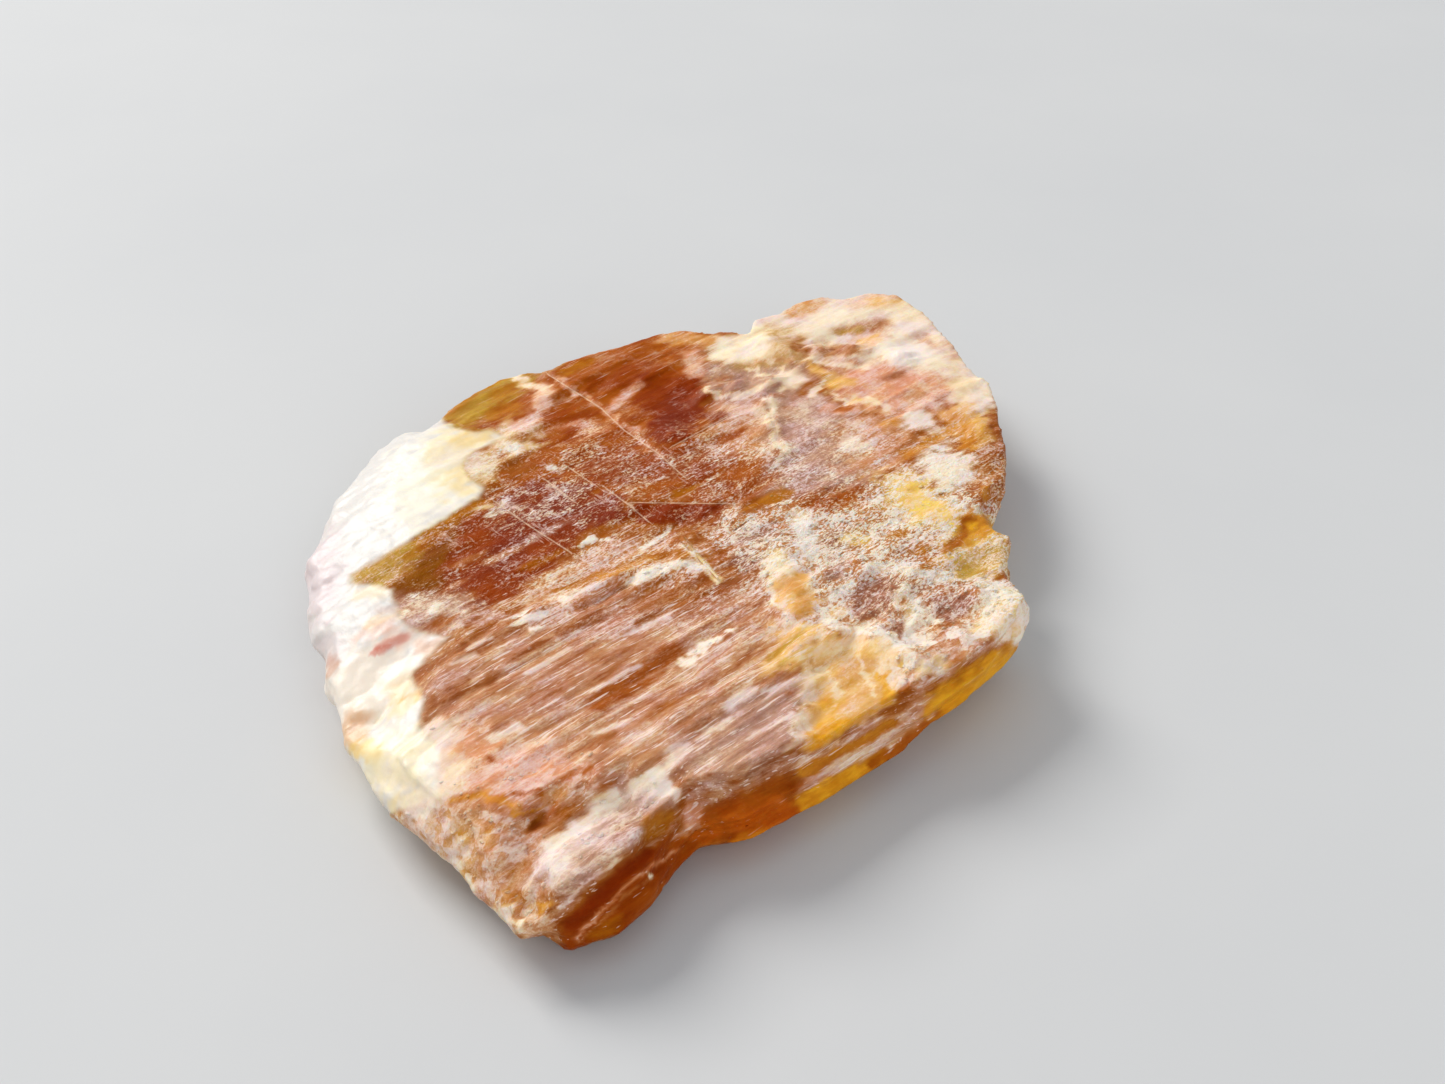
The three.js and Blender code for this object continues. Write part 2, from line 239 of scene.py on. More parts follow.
def grain(points, size, seed=0):
    """Smooth noise from -1 to 1 whose lumps are about that size, one value for each point."""
    cell = np.floor(points / size)
    part = smooth(points / size - cell)
    total = np.zeros(len(points))
    for corner in itertools.product((0, 1), repeat=3):
        share = np.prod(np.where(corner, part, 1 - part), axis=1)
        total += share * scatter(cell + corner, (127.1, 311.7, 74.7), 17.3 * seed)
    return 2 * total - 1


def pebbles(points, size, seed=0):
    """Relief from 0 in the creases to 1 on the backs of close-packed rounded grains."""
    directions = (127.1, 269.5, 113.5), (311.7, 183.3, 271.9), (74.7, 246.1, 124.6)
    cell = np.floor(points / size)
    nearest = np.full(len(points), 9.0)
    second = np.full(len(points), 9.0)
    for step in itertools.product((-1, 0, 1), repeat=3):
        middle = cell + step + scatter(cell + step, directions, seed)
        away = np.linalg.norm(middle - points / size, axis=1)
        second = np.minimum(second, np.maximum(nearest, away))
        nearest = np.minimum(nearest, away)
    return np.clip((second - nearest) / 0.45, 0, 1) ** 0.6


def offset_from(points, path):
    """Distance on the face from each point to a path, negative on the path's right."""
    nearest = np.full(len(points), 99.0)
    for start, end in zip(path[:-1], path[1:]):
        start, run = np.array(start), np.array(end) - np.array(start)
        away = points[:, :2] - start
        share = np.clip(away @ run / (run @ run), 0, 1)
        gap = away - share[:, None] * run
        offset = np.hypot(gap[:, 0], gap[:, 1]) * np.where(away @ (-run[1], run[0]) < 0, -1, 1)
        nearest = np.where(np.abs(offset) < np.abs(nearest), offset, nearest)
    return nearest


def distance_to(points, path):
    """Distance on the face from each point to a path, on either side of it."""
    return np.abs(offset_from(points, path))


def depth_inside(points, outline):
    """Distance on the face from each point to a closed outline, positive inside it."""
    inside = np.zeros(len(points), bool)
    x, y = points[:, 0], points[:, 1]
    closed = outline + outline[:1]
    for (x1, y1), (x2, y2) in zip(closed[:-1], closed[1:]):
        if y1 != y2:
            crosses = ((y1 > y) != (y2 > y)) & (x < (x2 - x1) * (y - y1) / (y2 - y1) + x1)
            inside ^= crosses
    return distance_to(points, closed) * np.where(inside, 1, -1)


def shade(red, green, blue):
    """A colour as the eye names it, from 0 to 1, in the linear light that Blender works in."""
    seen = np.array((red, green, blue))
    return np.where(seen <= 0.04045, seen / 12.92, ((seen + 0.055) / 1.055) ** 2.4)


# Colours of the clear stone, and of the film of fine cracks and powder over it, whose pink
# haze is partly painted sheen.
MILK = shade(0.88, 0.86, 0.835)
PEARL = shade(0.99, 0.93, 0.86)
LAVENDER = shade(0.86, 0.77, 0.78)
CREAM = shade(0.98, 0.89, 0.70)
STRAW = shade(0.96, 0.81, 0.46)
GOLD = shade(0.92, 0.66, 0.20)
AMBER = shade(0.93, 0.73, 0.42)
HONEY = shade(0.84, 0.57, 0.23)
OCHRE = shade(0.73, 0.46, 0.10)
OLIVE = shade(0.76, 0.60, 0.28)
SALMON = shade(0.88, 0.58, 0.44)
PINK = shade(0.84, 0.48, 0.40)
CLAY = shade(0.78, 0.52, 0.34)
BROWN = shade(0.66, 0.38, 0.15)
TAWNY = shade(0.70, 0.45, 0.33)
UMBER = shade(0.54, 0.27, 0.02)
RUST = shade(0.67, 0.35, 0.09)
BRONZE = shade(0.57, 0.34, 0.03)
EMBER = shade(0.60, 0.26, 0.02)
FLAME = shade(0.80, 0.41, 0.11)
WINE = shade(0.55, 0.20, 0.03)
PLUM = shade(0.53, 0.22, 0.15)
SLATE = shade(0.70, 0.53, 0.51)
MAUVE = shade(0.63, 0.42, 0.38)
IVORY = shade(1.0, 0.965, 0.89)

QUARTZ_BORDER = [
    (-7.4, 6.4), (-7.0, 5.4), (-6.3, 4.9), (-5.4, 4.9), (-5.1, 4.6), (-5.5, 4.2), (-6.0, 3.8),
    (-6.2, 3.0), (-6.0, 2.4), (-5.4, 1.9), (-5.5, 1.4), (-6.0, 0.85), (-6.6, 0.15),
    (-7.3, -0.8), (-7.9, -1.5), (-8.6, -2.3), (-8.5, -2.7), (-7.8, -2.8), (-7.4, -3.0),
    (-7.2, -3.5), (-7.0, -4.2), (-6.4, -4.8), (-5.6, -5.0), (-5.9, -5.5), (-6.2, -6.1),
    (-6.4, -6.5), (-6.2, -7.0), (-5.9, -7.4), (-5.9, -8.4), (-5.5, -9.0), (-5.2, -9.4),
    (-5.2, -10.2), (-5.0, -10.9), (-5.8, -11.3), (-6.6, -11.7), (-12, -12), (-12, 8),
]
CRUST_BORDER = [
    (1.7, 0.9), (2.4, 0.8), (3.4, 1.4), (4.4, 1.2), (5.4, 1.0), (6.0, 2.0), (6.9, 2.4), (7.6, 2.0),
    (8.2, 1.7), (9.2, 1.5), (9.8, 0.8), (9.0, 0.9), (8.3, 0.5), (7.9, -0.3), (7.6, -1.0),
    (7.9, -2.0), (9.0, -2.4), (10, -2.4), (10.4, -4.0), (9.6, -5.2), (8.4, -5.4), (7.2, -6.6),
    (6.3, -7.0), (6.0, -5.4), (5.0, -4.8), (4.0, -5.0), (3.1, -4.3), (2.9, -2.6), (2.6, -1.4),
    (1.5, -1.0), (1.5, 0.2),
]
CRACKS = [
    [(-4.0, 8.3), (-2.2, 6.3), (-1.4, 5.0), (-0.3, 3.7), (0.4, 2.6)],
    [(0.1, 4.1), (1.9, 5.9)],
    [(3.05, 7.0), (3.1, 6.2), (3.3, 5.2), (3.35, 4.2), (3.7, 3.6)],
    [(-5.0, 1.2), (-3.9, 0.0), (-2.6, -1.3)],
    [(-3.6, 2.3), (-2.7, 1.2)],
    [(-3.0, 3.0), (-2.3, 2.2)],
    [(-1.2, 1.15), (1.9, 1.08)],
    [(-1.9, 2.0), (-1.0, 0.9), (-0.5, 0.2)],
]

# How far the edges of marks stray: a small wobble everywhere, long frays along the fibres, and
# ragged crumbs and splinters, which are weaker on the worn back of the chip.
EDGE_WOBBLE = 0.06
FRAYS = (0.28, 0.2)
RAGGED = 0.35
WORN_BACK = 6.5
WORN_REACH = 2.5
WORN_SHARE = 0.6

# Painted glitter is strongest across the middle of the stone, and faint at its front and back.
GLINT_MIDDLE = 0.6
GLINT_REACH = 4.5
DULL_GLINT = 0.15

LEVELS = ("haze", "fibre", "crust", "quartz", "crack", "glint")


class Coat:
    """What covers each point of the chip: the stone's colour, and the levels of what lies on it.

    The stone's colour holds a few marks of painted light and shade. The levels are the haze over
    the clear stone, the fibres and the crust of powder on it, how far it is quartz, how much
    painted glitter it has, and its distance to a crack. Outlines are drawn on the plane of the
    split face, where the camera sees them: each point is first carried to that plane along the
    line of sight.
    """

    def __init__(self, points):
        eye = np.array(camera.location) / MM
        reach = (eye[2] - FACE_HEIGHT) / (eye[2] - points[:, 2])
        seen = eye + (points - eye) * reach[:, None]
        shaken = [grain(points, 0.22, seed) for seed in (3, 4)]
        self.exact = seen[:, :2] + EDGE_WOBBLE * np.column_stack(shaken)
        lengthwise = points @ FIBRE_AXES.T
        fray = FRAYS[0] * grain(lengthwise * (0.2, 1, 1), 0.2, 1)
        fray += FRAYS[1] * grain(lengthwise * (0.3, 1, 1), 0.6, 2)
        self.frayed = self.exact + fray[:, None] * FIBRE_AXES[0, :2]
        self.ragged = RAGGED * grain(points, 0.3, 5)
        self.ragged += RAGGED * grain(lengthwise * (0.4, 1, 1), 0.14, 6)
        away = self.exact[:, 1]
        self.ragged *= 1 - WORN_SHARE * smooth((away - WORN_BACK) / WORN_REACH)
        self.stain_and_painted_light = np.tile(BROWN, (len(points), 1))
        self.haze = np.full(len(points), 0.4)
        self.fibre = np.full(len(points), 0.8)
        self.crust = np.zeros(len(points))
        self.quartz = np.zeros(len(points))
        bright = np.exp(-(((away - GLINT_MIDDLE) / GLINT_REACH) ** 4))
        self.glint = DULL_GLINT + (1 - DULL_GLINT) * bright
        offsets = np.array([offset_from(seen, crack) for crack in CRACKS])
        nearest = np.abs(offsets).argmin(axis=0)[None]
        self.crack = np.take_along_axis(offsets, nearest, axis=0)[0]

    def lay(self, share, colour, haze, **levels):
        """Covers the points, each by its own share, with a colour, a haze and other levels.

        With no haze it tints the quartz alone.
        """
        if haze is None:
            share = share * self.quartz
        else:
            levels["haze"] = haze
        self.stain_and_painted_light += share[:, None] * (colour - self.stain_and_painted_light)
        for name, level in levels.items():
            covered = getattr(self, name)
            covered += share * (level - covered)

    def brush(self, crisp):
        """Where the points lie under a mark, and how ragged its edge is at each."""
        return (self.exact, 0) if crisp else (self.frayed, self.ragged)

    def patch(self, colour, haze, outline, soft=0.3, strength=0.9, crisp=False, **levels):
        """Fills an outline, its edge frayed along the fibres unless it is crisp."""
        place, ragged = self.brush(crisp)
        share = smooth(0.5 + depth_inside(place, outline) / soft / 2 + ragged)
        self.lay(strength * share, colour, haze, **levels)

    def streak(self, colour, haze, width, path, strength=0.9, crisp=False, **levels):
        """Draws a line, solid to half its width and gone at one and a half."""
        place, ragged = self.brush(crisp)
        share = smooth(1.5 - distance_to(place, path) / width + ragged)
        self.lay(strength * share, colour, haze, **levels)

    def spot(self, colour, haze, at, radii, turn=0, strength=0.9, crisp=False, **levels):
        """Fills an ellipse turned anticlockwise by that many degrees."""
        place, ragged = self.brush(crisp)
        turn = math.radians(turn)
        offset = place - at
        across = (offset @ (math.cos(turn), math.sin(turn))) / radii[0]
        up = (offset @ (-math.sin(turn), math.cos(turn))) / radii[1]
        share = smooth(1.5 - np.hypot(across, up) + ragged)
        self.lay(strength * share, colour, haze, **levels)


def lay_ground(coat):
    """The ground colours, region by region."""
    coat.patch(TAWNY, 0.56, [
        (-6.6, -6.6), (-5.4, -4.8), (-2.6, -3.8), (-0.6, -2.4), (1.4, -2.2), (3, -1.6), (4, -6), (3.6, -10),
        (1, -11), (-2, -11.4), (-6, -11),
    ], 0.8, fibre=1.0)
    coat.patch(RUST, 0.36, [
        (-6.6, 4.6), (-7, 9.5), (0.5, 12.5), (1.4, 7.6), (1.2, 3.2), (-5.2, 1.6),
    ], 0.6, fibre=0.4)
    coat.patch(RUST, 0.42, [
        (-3.4, 1.4), (-4.0, 3.8), (0, 4.6), (3.2, 4.2), (3.4, 2.0), (1.8, 1.2),
    ], 0.4, fibre=0.5, glint=1.1)
    coat.patch(CLAY, 0.6, [(1.2, 3.6), (1.3, 6.8), (3.2, 6.8), (3.3, 3.4)], 0.4, fibre=0.5)
    coat.patch(PLUM, 0.46, [(-2.6, 2.2), (-2.9, 3.4), (-0.4, 4.2), (2.2, 3.8), (2.0, 2.0)], 0.5, 0.5)
    coat.patch(SLATE, 0.62, [(3.1, 1.4), (3.1, 7.2), (5.2, 7.0), (6.4, 5.0), (6.4, 1.6)], 0.6, fibre=0.35)
    coat.patch(CLAY, 0.62, [(5.2, 2.8), (5.4, 6.4), (7.4, 6.2), (7.2, 2.4)], 0.6, fibre=0.4)
    coat.patch(CLAY, 0.68, [
        (-4.6, -3.8), (-3.2, -2.0), (-1.6, -0.8), (0, -0.4), (1.4, -0.8), (1.2, -2.2), (-0.6, -2.4),
        (-2.6, -3.8),
    ], 0.4, fibre=0.9)


def lay_back_left(coat):
    """Back left: an olive rim, ochre and rust under a pale haze, and a deep red window."""
    coat.patch(OLIVE, 0.22, [
        (-7.4, 5.6), (-6.4, 7.4), (-5.2, 8.8), (-3.8, 9.0), (-4.6, 7.8), (-5.4, 6.6), (-6.0, 5.2),
    ], 0.4, fibre=0.3)
    coat.streak(OCHRE, 0.1, 0.16, [(-7.0, 5.9), (-6.3, 7.2), (-5.2, 8.4), (-4.2, 8.7)], 0.6)
    coat.patch(CREAM, 0.8, [
        (-5.4, 4.6), (-5.0, 5.6), (-4.2, 5.4), (-3.8, 4.2), (-4.6, 3.6), (-5.4, 3.8),
    ], 0.4, 0.7, fibre=0.3, glint=0.4)
    coat.patch(OLIVE, 0.9, [
        (-6.9, 2.2), (-6.6, 3.6), (-5.8, 3.8), (-5.0, 3.4), (-5.1, 2.1), (-6.0, 1.9),
    ], 0.4, fibre=0.2, glint=0.4)
    coat.spot(BROWN, 0.3, (-4.5, 3.0), (0.6, 0.5), 20, fibre=0.4)
    coat.spot(BROWN, 0.4, (-4.5, 4.6), (0.35, 0.25), 20)
    coat.streak(CREAM, 0.85, 0.18, [(-5.0, 8.2), (-4.2, 7.3)], 0.8)
    coat.streak(SALMON, 0.8, 0.35, [(-4.2, 7.4), (-4.0, 6.0), (-4.5, 5.4)], 0.7)
    coat.streak(SALMON, 0.75, 0.3, [(-2.5, 5.3), (-3.2, 5.2), (-2.2, 4.9)], 0.5)
    coat.streak(SALMON, 0.8, 0.22, [(-1.8, 6.4), (-1.4, 7.2), (-1.0, 7.9)], 0.6)
    for colour, at, radii, turn in (
        (OCHRE, (-5.2, 6.0), (0.5, 0.45), 30), (OCHRE, (-5.3, 7.3), (0.7, 0.25), 50),
        (OCHRE, (-3.3, 8.6), (0.8, 0.25), 40), (EMBER, (-1.7, 8.1), (1.0, 0.65), 50),
        (RUST, (-2.0, 7.0), (0.5, 0.3), 70), (EMBER, (-3.6, 5.9), (0.6, 0.45), 60),
        (EMBER, (-2.7, 5.8), (0.5, 0.35), 20), (EMBER, (-3.1, 4.7), (0.3, 0.45), 20),
        (RUST, (-3.6, 3.9), (0.25, 0.6), 10), (EMBER, (-1.8, 4.7), (0.5, 0.35), 20),
        (EMBER, (-0.5, 3.2), (0.35, 0.2), 40), (EMBER, (-0.3, 2.6), (0.4, 0.14), 40),
        (EMBER, (-2.1, 2.5), (0.4, 0.15), 40), (EMBER, (0.4, 3.9), (0.4, 0.2), 30),
        (RUST, (2.0, 2.8), (0.8, 0.35), 35), (RUST, (2.8, 2.5), (0.4, 0.3), 0),
        (OCHRE, (0.5, 1.7), (0.4, 0.2), 40), (EMBER, (1.0, 2.4), (0.5, 0.14), 42),
        (RUST, (-0.4, 1.9), (0.5, 0.2), 30), (EMBER, (1.8, 4.7), (0.5, 0.3), 30),
    ):
        coat.spot(colour, 0.2, at, radii, turn, 0.7)
    coat.patch(WINE, 0.26, [
        (-1.1, 8.2), (-1.0, 5.7), (-0.1, 4.1), (0.4, 4.3), (1.3, 7.0), (0.7, 8.2),
    ], 0.25, fibre=0.35)
    coat.patch(EMBER, 0.05, [(-0.9, 8.6), (-0.9, 6.2), (-0.2, 6.2), (0.2, 8.6)], 0.3, 0.8)
    coat.patch(PLUM, 0.34, [(-0.4, 6.6), (0.3, 6.9), (1.0, 6.6), (0.6, 5.0), (-0.4, 5.0)], 0.3, 0.7)
    coat.spot(PLUM, 0.4, (1.5, 5.8), (0.4, 0.3), 45, 0.8)
    coat.streak(HONEY, 0.5, 0.4, [(0.0, 10.6), (0.6, 10.8), (1.2, 10.4)], 0.8)
    coat.streak(SALMON, 0.7, 0.3, [(0.6, 9.6), (0.8, 8.4)], 0.7)


def lay_wine_window(coat):
    """The wine-red window and its olive wedge."""
    coat.patch(WINE, 0.22, [
        (-7.3, -3.2), (-7.1, -1.8), (-6.3, -0.3), (-5.6, 0.3), (-5.1, 0.8), (-4.9, 1.4), (-4.0, 2.1),
        (-2.5, 2.0), (-1.2, 1.2), (-0.9, 0.6), (-1.2, 0.2), (-2.0, 0.0), (-2.6, -1.0), (-3.3, -2.2),
        (-4.3, -3.3), (-4.8, -3.7), (-5.2, -3.0), (-6.2, -3.2),
    ], 0.25, fibre=0.25, glint=1.1)
    coat.patch(PLUM, 0.5, [
        (-4.8, 1.3), (-4.0, 2.1), (-2.5, 2.0), (-1.0, 1.0), (-1.4, 0.2), (-4.3, 0.0),
    ], 0.3, 0.8)
    coat.patch(PLUM, 0.34, [(-5.1, 0.2), (-3.8, 0.3), (-3.6, -0.8), (-4.2, -2.0), (-5.2, -1.9)], 0.3, 0.7)
    for colour, haze, outline in (
        (BRONZE, 0.24, [(-7.5, -3.2), (-7.1, -1.6), (-6.0, 0.0), (-5.7, -0.6), (-6.0, -1.8), (-5.9, -3.2)]),
        (EMBER, 0.2, [(-6.1, -2.4), (-6.0, -0.5), (-5.4, 0.7), (-4.9, 0.6), (-4.8, -1.0), (-5.3, -2.2)]),
        (EMBER, 0.22, [(-4.2, -2.0), (-3.9, -0.9), (-2.9, -0.7), (-3.1, -2.0), (-3.8, -2.6)]),
        (EMBER, 0.2, [(-5.1, -3.4), (-4.9, -2.2), (-4.1, -2.2), (-4.0, -3.2), (-4.7, -3.7)]),
    ):
        coat.patch(colour, haze, outline)
    coat.patch(OLIVE, 0.4, [
        (-8.7, -2.5), (-7.9, -1.4), (-6.9, -0.2), (-6.8, -1.2), (-7.1, -2.2), (-7.7, -2.9),
    ], 0.2, 0.85, fibre=0.5, glint=1.1)
    coat.streak(OCHRE, 0.32, 0.2, [(-7.0, -0.8), (-6.3, 0.1), (-5.7, 0.8), (-5.3, 1.3)], 0.7, glint=1.1)
    for colour, haze, at, radii, turn in (
        (EMBER, 0.1, (-3.9, 1.3), (0.5, 0.2), 35), (WINE, 0.0, (-1.8, 0.7), (0.35, 0.25), 0),
        (EMBER, 0.1, (-2.9, 0.2), (0.5, 0.2), 40), (CREAM, 0.7, (-5.45, 0.75), (0.2, 0.14), 30),
        (EMBER, 0.1, (-2.3, 1.3), (0.4, 0.2), 30), (OCHRE, 0.2, (-6.9, -1.2), (0.5, 0.16), 48),
        (WINE, 0.05, (-4.6, -0.6), (0.5, 0.25), 40), (OCHRE, 0.2, (-3.4, -1.6), (0.5, 0.2), 40),
        (CLAY, 0.6, (-4.4, -1.3), (0.6, 0.14), 43), (SLATE, 0.6, (-3.4, -0.3), (0.7, 0.14), 43),
        (CLAY, 0.5, (-5.4, -1.6), (0.7, 0.12), 43), (SLATE, 0.7, (-4.5, 0.9), (0.35, 0.3), 0),
        (SLATE, 0.65, (-3.2, 1.6), (0.5, 0.14), 40), (CLAY, 0.6, (-5.6, -2.7), (0.5, 0.14), 43),
        (PEARL, 0.9, (-4.8, 1.0), (0.2, 0.12), 40), (PEARL, 0.9, (-5.0, 0.6), (0.16, 0.12), 0),
    ):
        coat.spot(colour, haze, at, radii, turn, 0.6)
    coat.patch(SLATE, 0.66, [
        (-7.3, -3.2), (-5.4, -3.1), (-4.8, -4.2), (-5.8, -4.9), (-7.0, -4.4),
    ], 0.4, fibre=0.4)
    coat.spot(BROWN, 0.25, (-5.9, -4.4), (0.4, 0.25), 30)
    coat.patch(WINE, 0.26, [
        (-0.9, 0.1), (-0.9, 1.1), (1.8, 1.05), (1.6, 0.0),
    ], 0.08, 0.95, crisp=True, fibre=0.3)
    coat.patch(BROWN, 0.3, [(0.1, 0.2), (1.4, 0.2), (1.4, -0.9), (0.3, -0.9)], 0.3, 0.85, fibre=0.4)


def lay_striated_field(coat):
    """The striated field: clear brown troughs and frosted ribs, with mauve and peach in front."""
    coat.streak(OCHRE, 0.3, 0.14, [
        (-2.7, -2.9), (-1.6, -2.2), (-0.9, -1.7), (0.1, -1.35), (0.6, -1.45),
    ], 0.8)
    coat.patch(SLATE, 0.5, [
        (0.6, -10.2), (0.6, -9.0), (2.2, -7.4), (3.6, -7.0), (3.5, -9.0), (2.2, -10.2),
    ], 0.4)
    coat.patch(SALMON, 0.68, [
        (-5.2, -8.6), (-2.4, -9.0), (-1.6, -10.4), (-2.6, -11.4), (-5.2, -11),
    ], 0.6, fibre=0.35, crust=0.3)
    coat.patch(CLAY, 0.72, [(-1.0, -8.9), (-0.2, -7.9), (0.8, -8.2), (0.4, -9.4), (-0.4, -10)], 0.4, 0.6)
    for start, end, width in (
        ((-5.7, -7.6), (-4.8, -6.9), 0.22), ((-6.2, -6.4), (-5.2, -5.3), 0.2),
        ((-4.9, -5.0), (-4.5, -4.5), 0.14), ((-3.6, -5.8), (-3.0, -5.2), 0.16),
        ((-2.5, -4.7), (-1.8, -4.2), 0.18), ((-0.6, -4.4), (0.2, -3.7), 0.16),
        ((-4.4, -6.9), (-4.2, -6.2), 0.14), ((0.5, -4.1), (1.4, -3.2), 0.14),
        ((1.2, -3.2), (2.4, -2.2), 0.16), ((-1.7, -9.3), (-1.1, -8.8), 0.1),
        ((-2.0, -10.7), (-1.2, -10.2), 0.1), ((2.3, -10.1), (3.5, -9.3), 0.16),
        ((1.4, -6.8), (2.1, -6.1), 0.1), ((2.6, -6.6), (3.4, -5.9), 0.1), ((1.0, -8.5), (1.7, -7.9), 0.1),
        ((2.0, -6.0), (2.6, -5.3), 0.12), ((-3.0, -7.6), (-2.4, -7.0), 0.1),
    ):
        coat.streak(UMBER, 0.2, width, [start, end], 0.2 + 1.5 * width)
    coat.streak(RUST, 0.15, 0.34, [(-1.4, -7.5), (-0.6, -6.7), (0.3, -5.7)], 0.7)
    for start, end, width in (
        ((-1.6, -7.1), (-0.6, -6.2), 0.08), ((-5.3, -6.0), (-4.8, -5.7), 0.1),
        ((-3.2, -6.3), (-2.4, -5.5), 0.08), ((-4.9, -5.4), (-4.3, -4.9), 0.08),
        ((-1.7, -8.9), (-0.9, -8.4), 0.07), ((1.8, -7.6), (2.5, -7.0), 0.14),
        ((1.1, -8.9), (1.8, -8.2), 0.1), ((2.7, -7.3), (3.7, -6.6), 0.12), ((0.3, -9.9), (0.7, -9.1), 0.18),
        ((2.2, -8.9), (3.4, -8.0), 0.07), ((1.7, -1.9), (2.8, -1.3), 0.06),
        ((-2.6, -3.3), (-1.6, -2.6), 0.1), ((-3.9, -8.8), (-3.3, -8.4), 0.14),
        ((-0.8, -4.8), (0.2, -4.1), 0.07),
    ):
        coat.streak(LAVENDER, 0.85, width, [start, end], 0.6)
    coat.spot(BROWN, 0.5, (0.1, -7.6), (0.8, 0.35), 43, 0.8)
    coat.spot(HONEY, 0.38, (-1.0, -2.0), (0.9, 0.22), 30, 0.85)
    coat.spot(RUST, 0.3, (-4.0, -9.6), (0.2, 0.12), 0, 0.6)
    coat.spot(RUST, 0.3, (-3.7, -9.2), (0.16, 0.1), 0, 0.6)


def lay_front_ledge(coat):
    """The front: a crumbling ledge, a frosted nose crest, a dark pit and a red-brown band."""
    coat.patch(CLAY, 0.66, [
        (-7, -11.2), (-4.8, -11.1), (-3.2, -11.6), (-2.4, -12.4), (-2.2, -15.4), (-3.4, -15),
    ], fibre=0.2, crust=0.5)
    coat.patch(AMBER, 0.74, [
        (-6.2, -11.6), (-4.8, -11.4), (-4.0, -12.4), (-3.6, -14.2), (-4.4, -14.2),
    ], 0.5, 0.6)
    coat.patch(CREAM, 0.85, [(-7, -11.4), (-6, -11.6), (-4.2, -13.9), (-3.0, -15.2), (-4, -15.4)], 0.3, 0.6)
    coat.streak(HONEY, 0.3, 0.13, [(-5.0, -11.1), (-4.2, -10.9), (-3.4, -11.3), (-2.9, -11.5)], 0.8)
    coat.streak(RUST, 0.3, 0.1, [(-3.4, -10.9), (-2.8, -10.9), (-2.3, -10.4), (-1.7, -10.1)], 0.8)
    coat.spot(OCHRE, 0.4, (-2.5, -11.1), (0.25, 0.4), -30, 0.7)
    for at, radii, turn in (
        ((-5.6, -11.5), (0.4, 0.12), -20), ((-4.0, -13.4), (0.3, 0.3), 0), ((-3.6, -12.0), (0.25, 0.12), 0),
        ((-3.0, -13.2), (0.3, 0.2), 40), ((-2.9, -14.2), (0.2, 0.3), 0), ((-4.6, -12.3), (0.3, 0.16), 30),
    ):
        coat.spot(OCHRE, 0.45, at, radii, turn, 0.6)
    coat.streak(CREAM, 0.9, 0.12, [(-4.6, -13.1), (-3.6, -14.3), (-2.8, -15.0)], 0.6)
    coat.patch(LAVENDER, 0.66, [
        (-2.7, -13.6), (-2.4, -12.4), (-1.4, -11.0), (0.0, -10.2), (0.6, -10.8), (0.1, -11.9),
        (-0.7, -12.9), (-1.8, -14.0),
    ], fibre=0.4, glint=0.2, crust=0.4)
    coat.spot(LAVENDER, 0.85, (-2.2, -13.2), (0.3, 0.5), -40, 0.7)
    coat.spot(SLATE, 0.6, (-0.9, -11.9), (0.5, 0.2), 45, 0.6)
    coat.patch(MAUVE, 0.55, [
        (-2.0, -14.4), (-0.6, -12.9), (0.0, -12.1), (0.5, -11.2), (-0.3, -11.1), (-1.0, -12.0),
        (-1.9, -13.3),
    ], 0.35, 0.8, fibre=0.6)
    coat.spot(BROWN, 0.5, (-1.5, -11.6), (0.2, 0.14), 0, 0.6)
    coat.streak(PEARL, 1.0, 0.16, [(-2.4, -12.6), (-1.7, -11.9), (-1.0, -11.1)], 0.75)
    coat.spot(PEARL, 1.0, (-0.2, -10.4), (0.5, 0.22), 30, 0.75)
    coat.spot(CREAM, 0.9, (-1.26, -11.03), (0.3, 0.2), 30, 0.6)
    coat.spot(CREAM, 1.1, (0.25, -10.8), (0.5, 0.3), -50)
    coat.spot(OCHRE, 0.2, (0.1, -11.9), (0.3, 0.6), -10, crust=0.1)
    coat.patch(BROWN, 0.4, [
        (-2.1, -15.8), (-2.0, -14.6), (-0.8, -12.8), (0.1, -12.1), (0.8, -12.0), (1.4, -13), (0, -16),
    ], 0.2, fibre=1.0, glint=0.03)
    coat.patch(EMBER, 0.0, [
        (-1.9, -15.8), (-1.6, -14.7), (-0.6, -13.2), (0.2, -12.5), (0.8, -12.2), (1.4, -13), (0, -16),
    ], 0.15, fibre=0.7, glint=0.03)
    coat.spot(OCHRE, 0.15, (-0.9, -15.0), (0.5, 0.2), 45, 0.5)
    coat.spot(RUST, 0.1, (0.2, -14.0), (0.8, 0.25), 48, 0.7)
    coat.streak(WINE, -0.2, 0.2, [(-1.7, -14.9), (-1.2, -14.2), (-0.5, -13.2), (-0.1, -12.8)], crisp=True)
    coat.streak(SALMON, 0.8, 0.05, [
        (-1.6, -15.3), (-1.0, -14.4), (-0.3, -13.5), (0.6, -12.6),
    ], 0.55, crisp=True)
    coat.streak(CLAY, 0.7, 0.04, [(-1.4, -15.3), (-0.7, -14.3), (0.1, -13.4)], 0.4)
    coat.streak(CLAY, 0.9, 0.05, [(-2.0, -14.4), (-1.4, -13.6), (-0.7, -12.9)], 0.7, crisp=True)
    # A painted highlight on the nose.
    coat.spot(PEARL, 1.1, (0.0, -13.45), (0.07, 0.05), crisp=True)
    coat.spot(GOLD, 0.4, (-2.4, -14.4), (0.24, 0.18), 0, 0.7)
    # The umber spot darkens the pit: partly its own colour, partly painted shade.
    coat.spot(UMBER, 0.0, (-2.8, -11.9), (0.2, 0.16))
    coat.spot(SALMON, 0.7, (0.9, -11.5), (0.3, 0.35), 30)


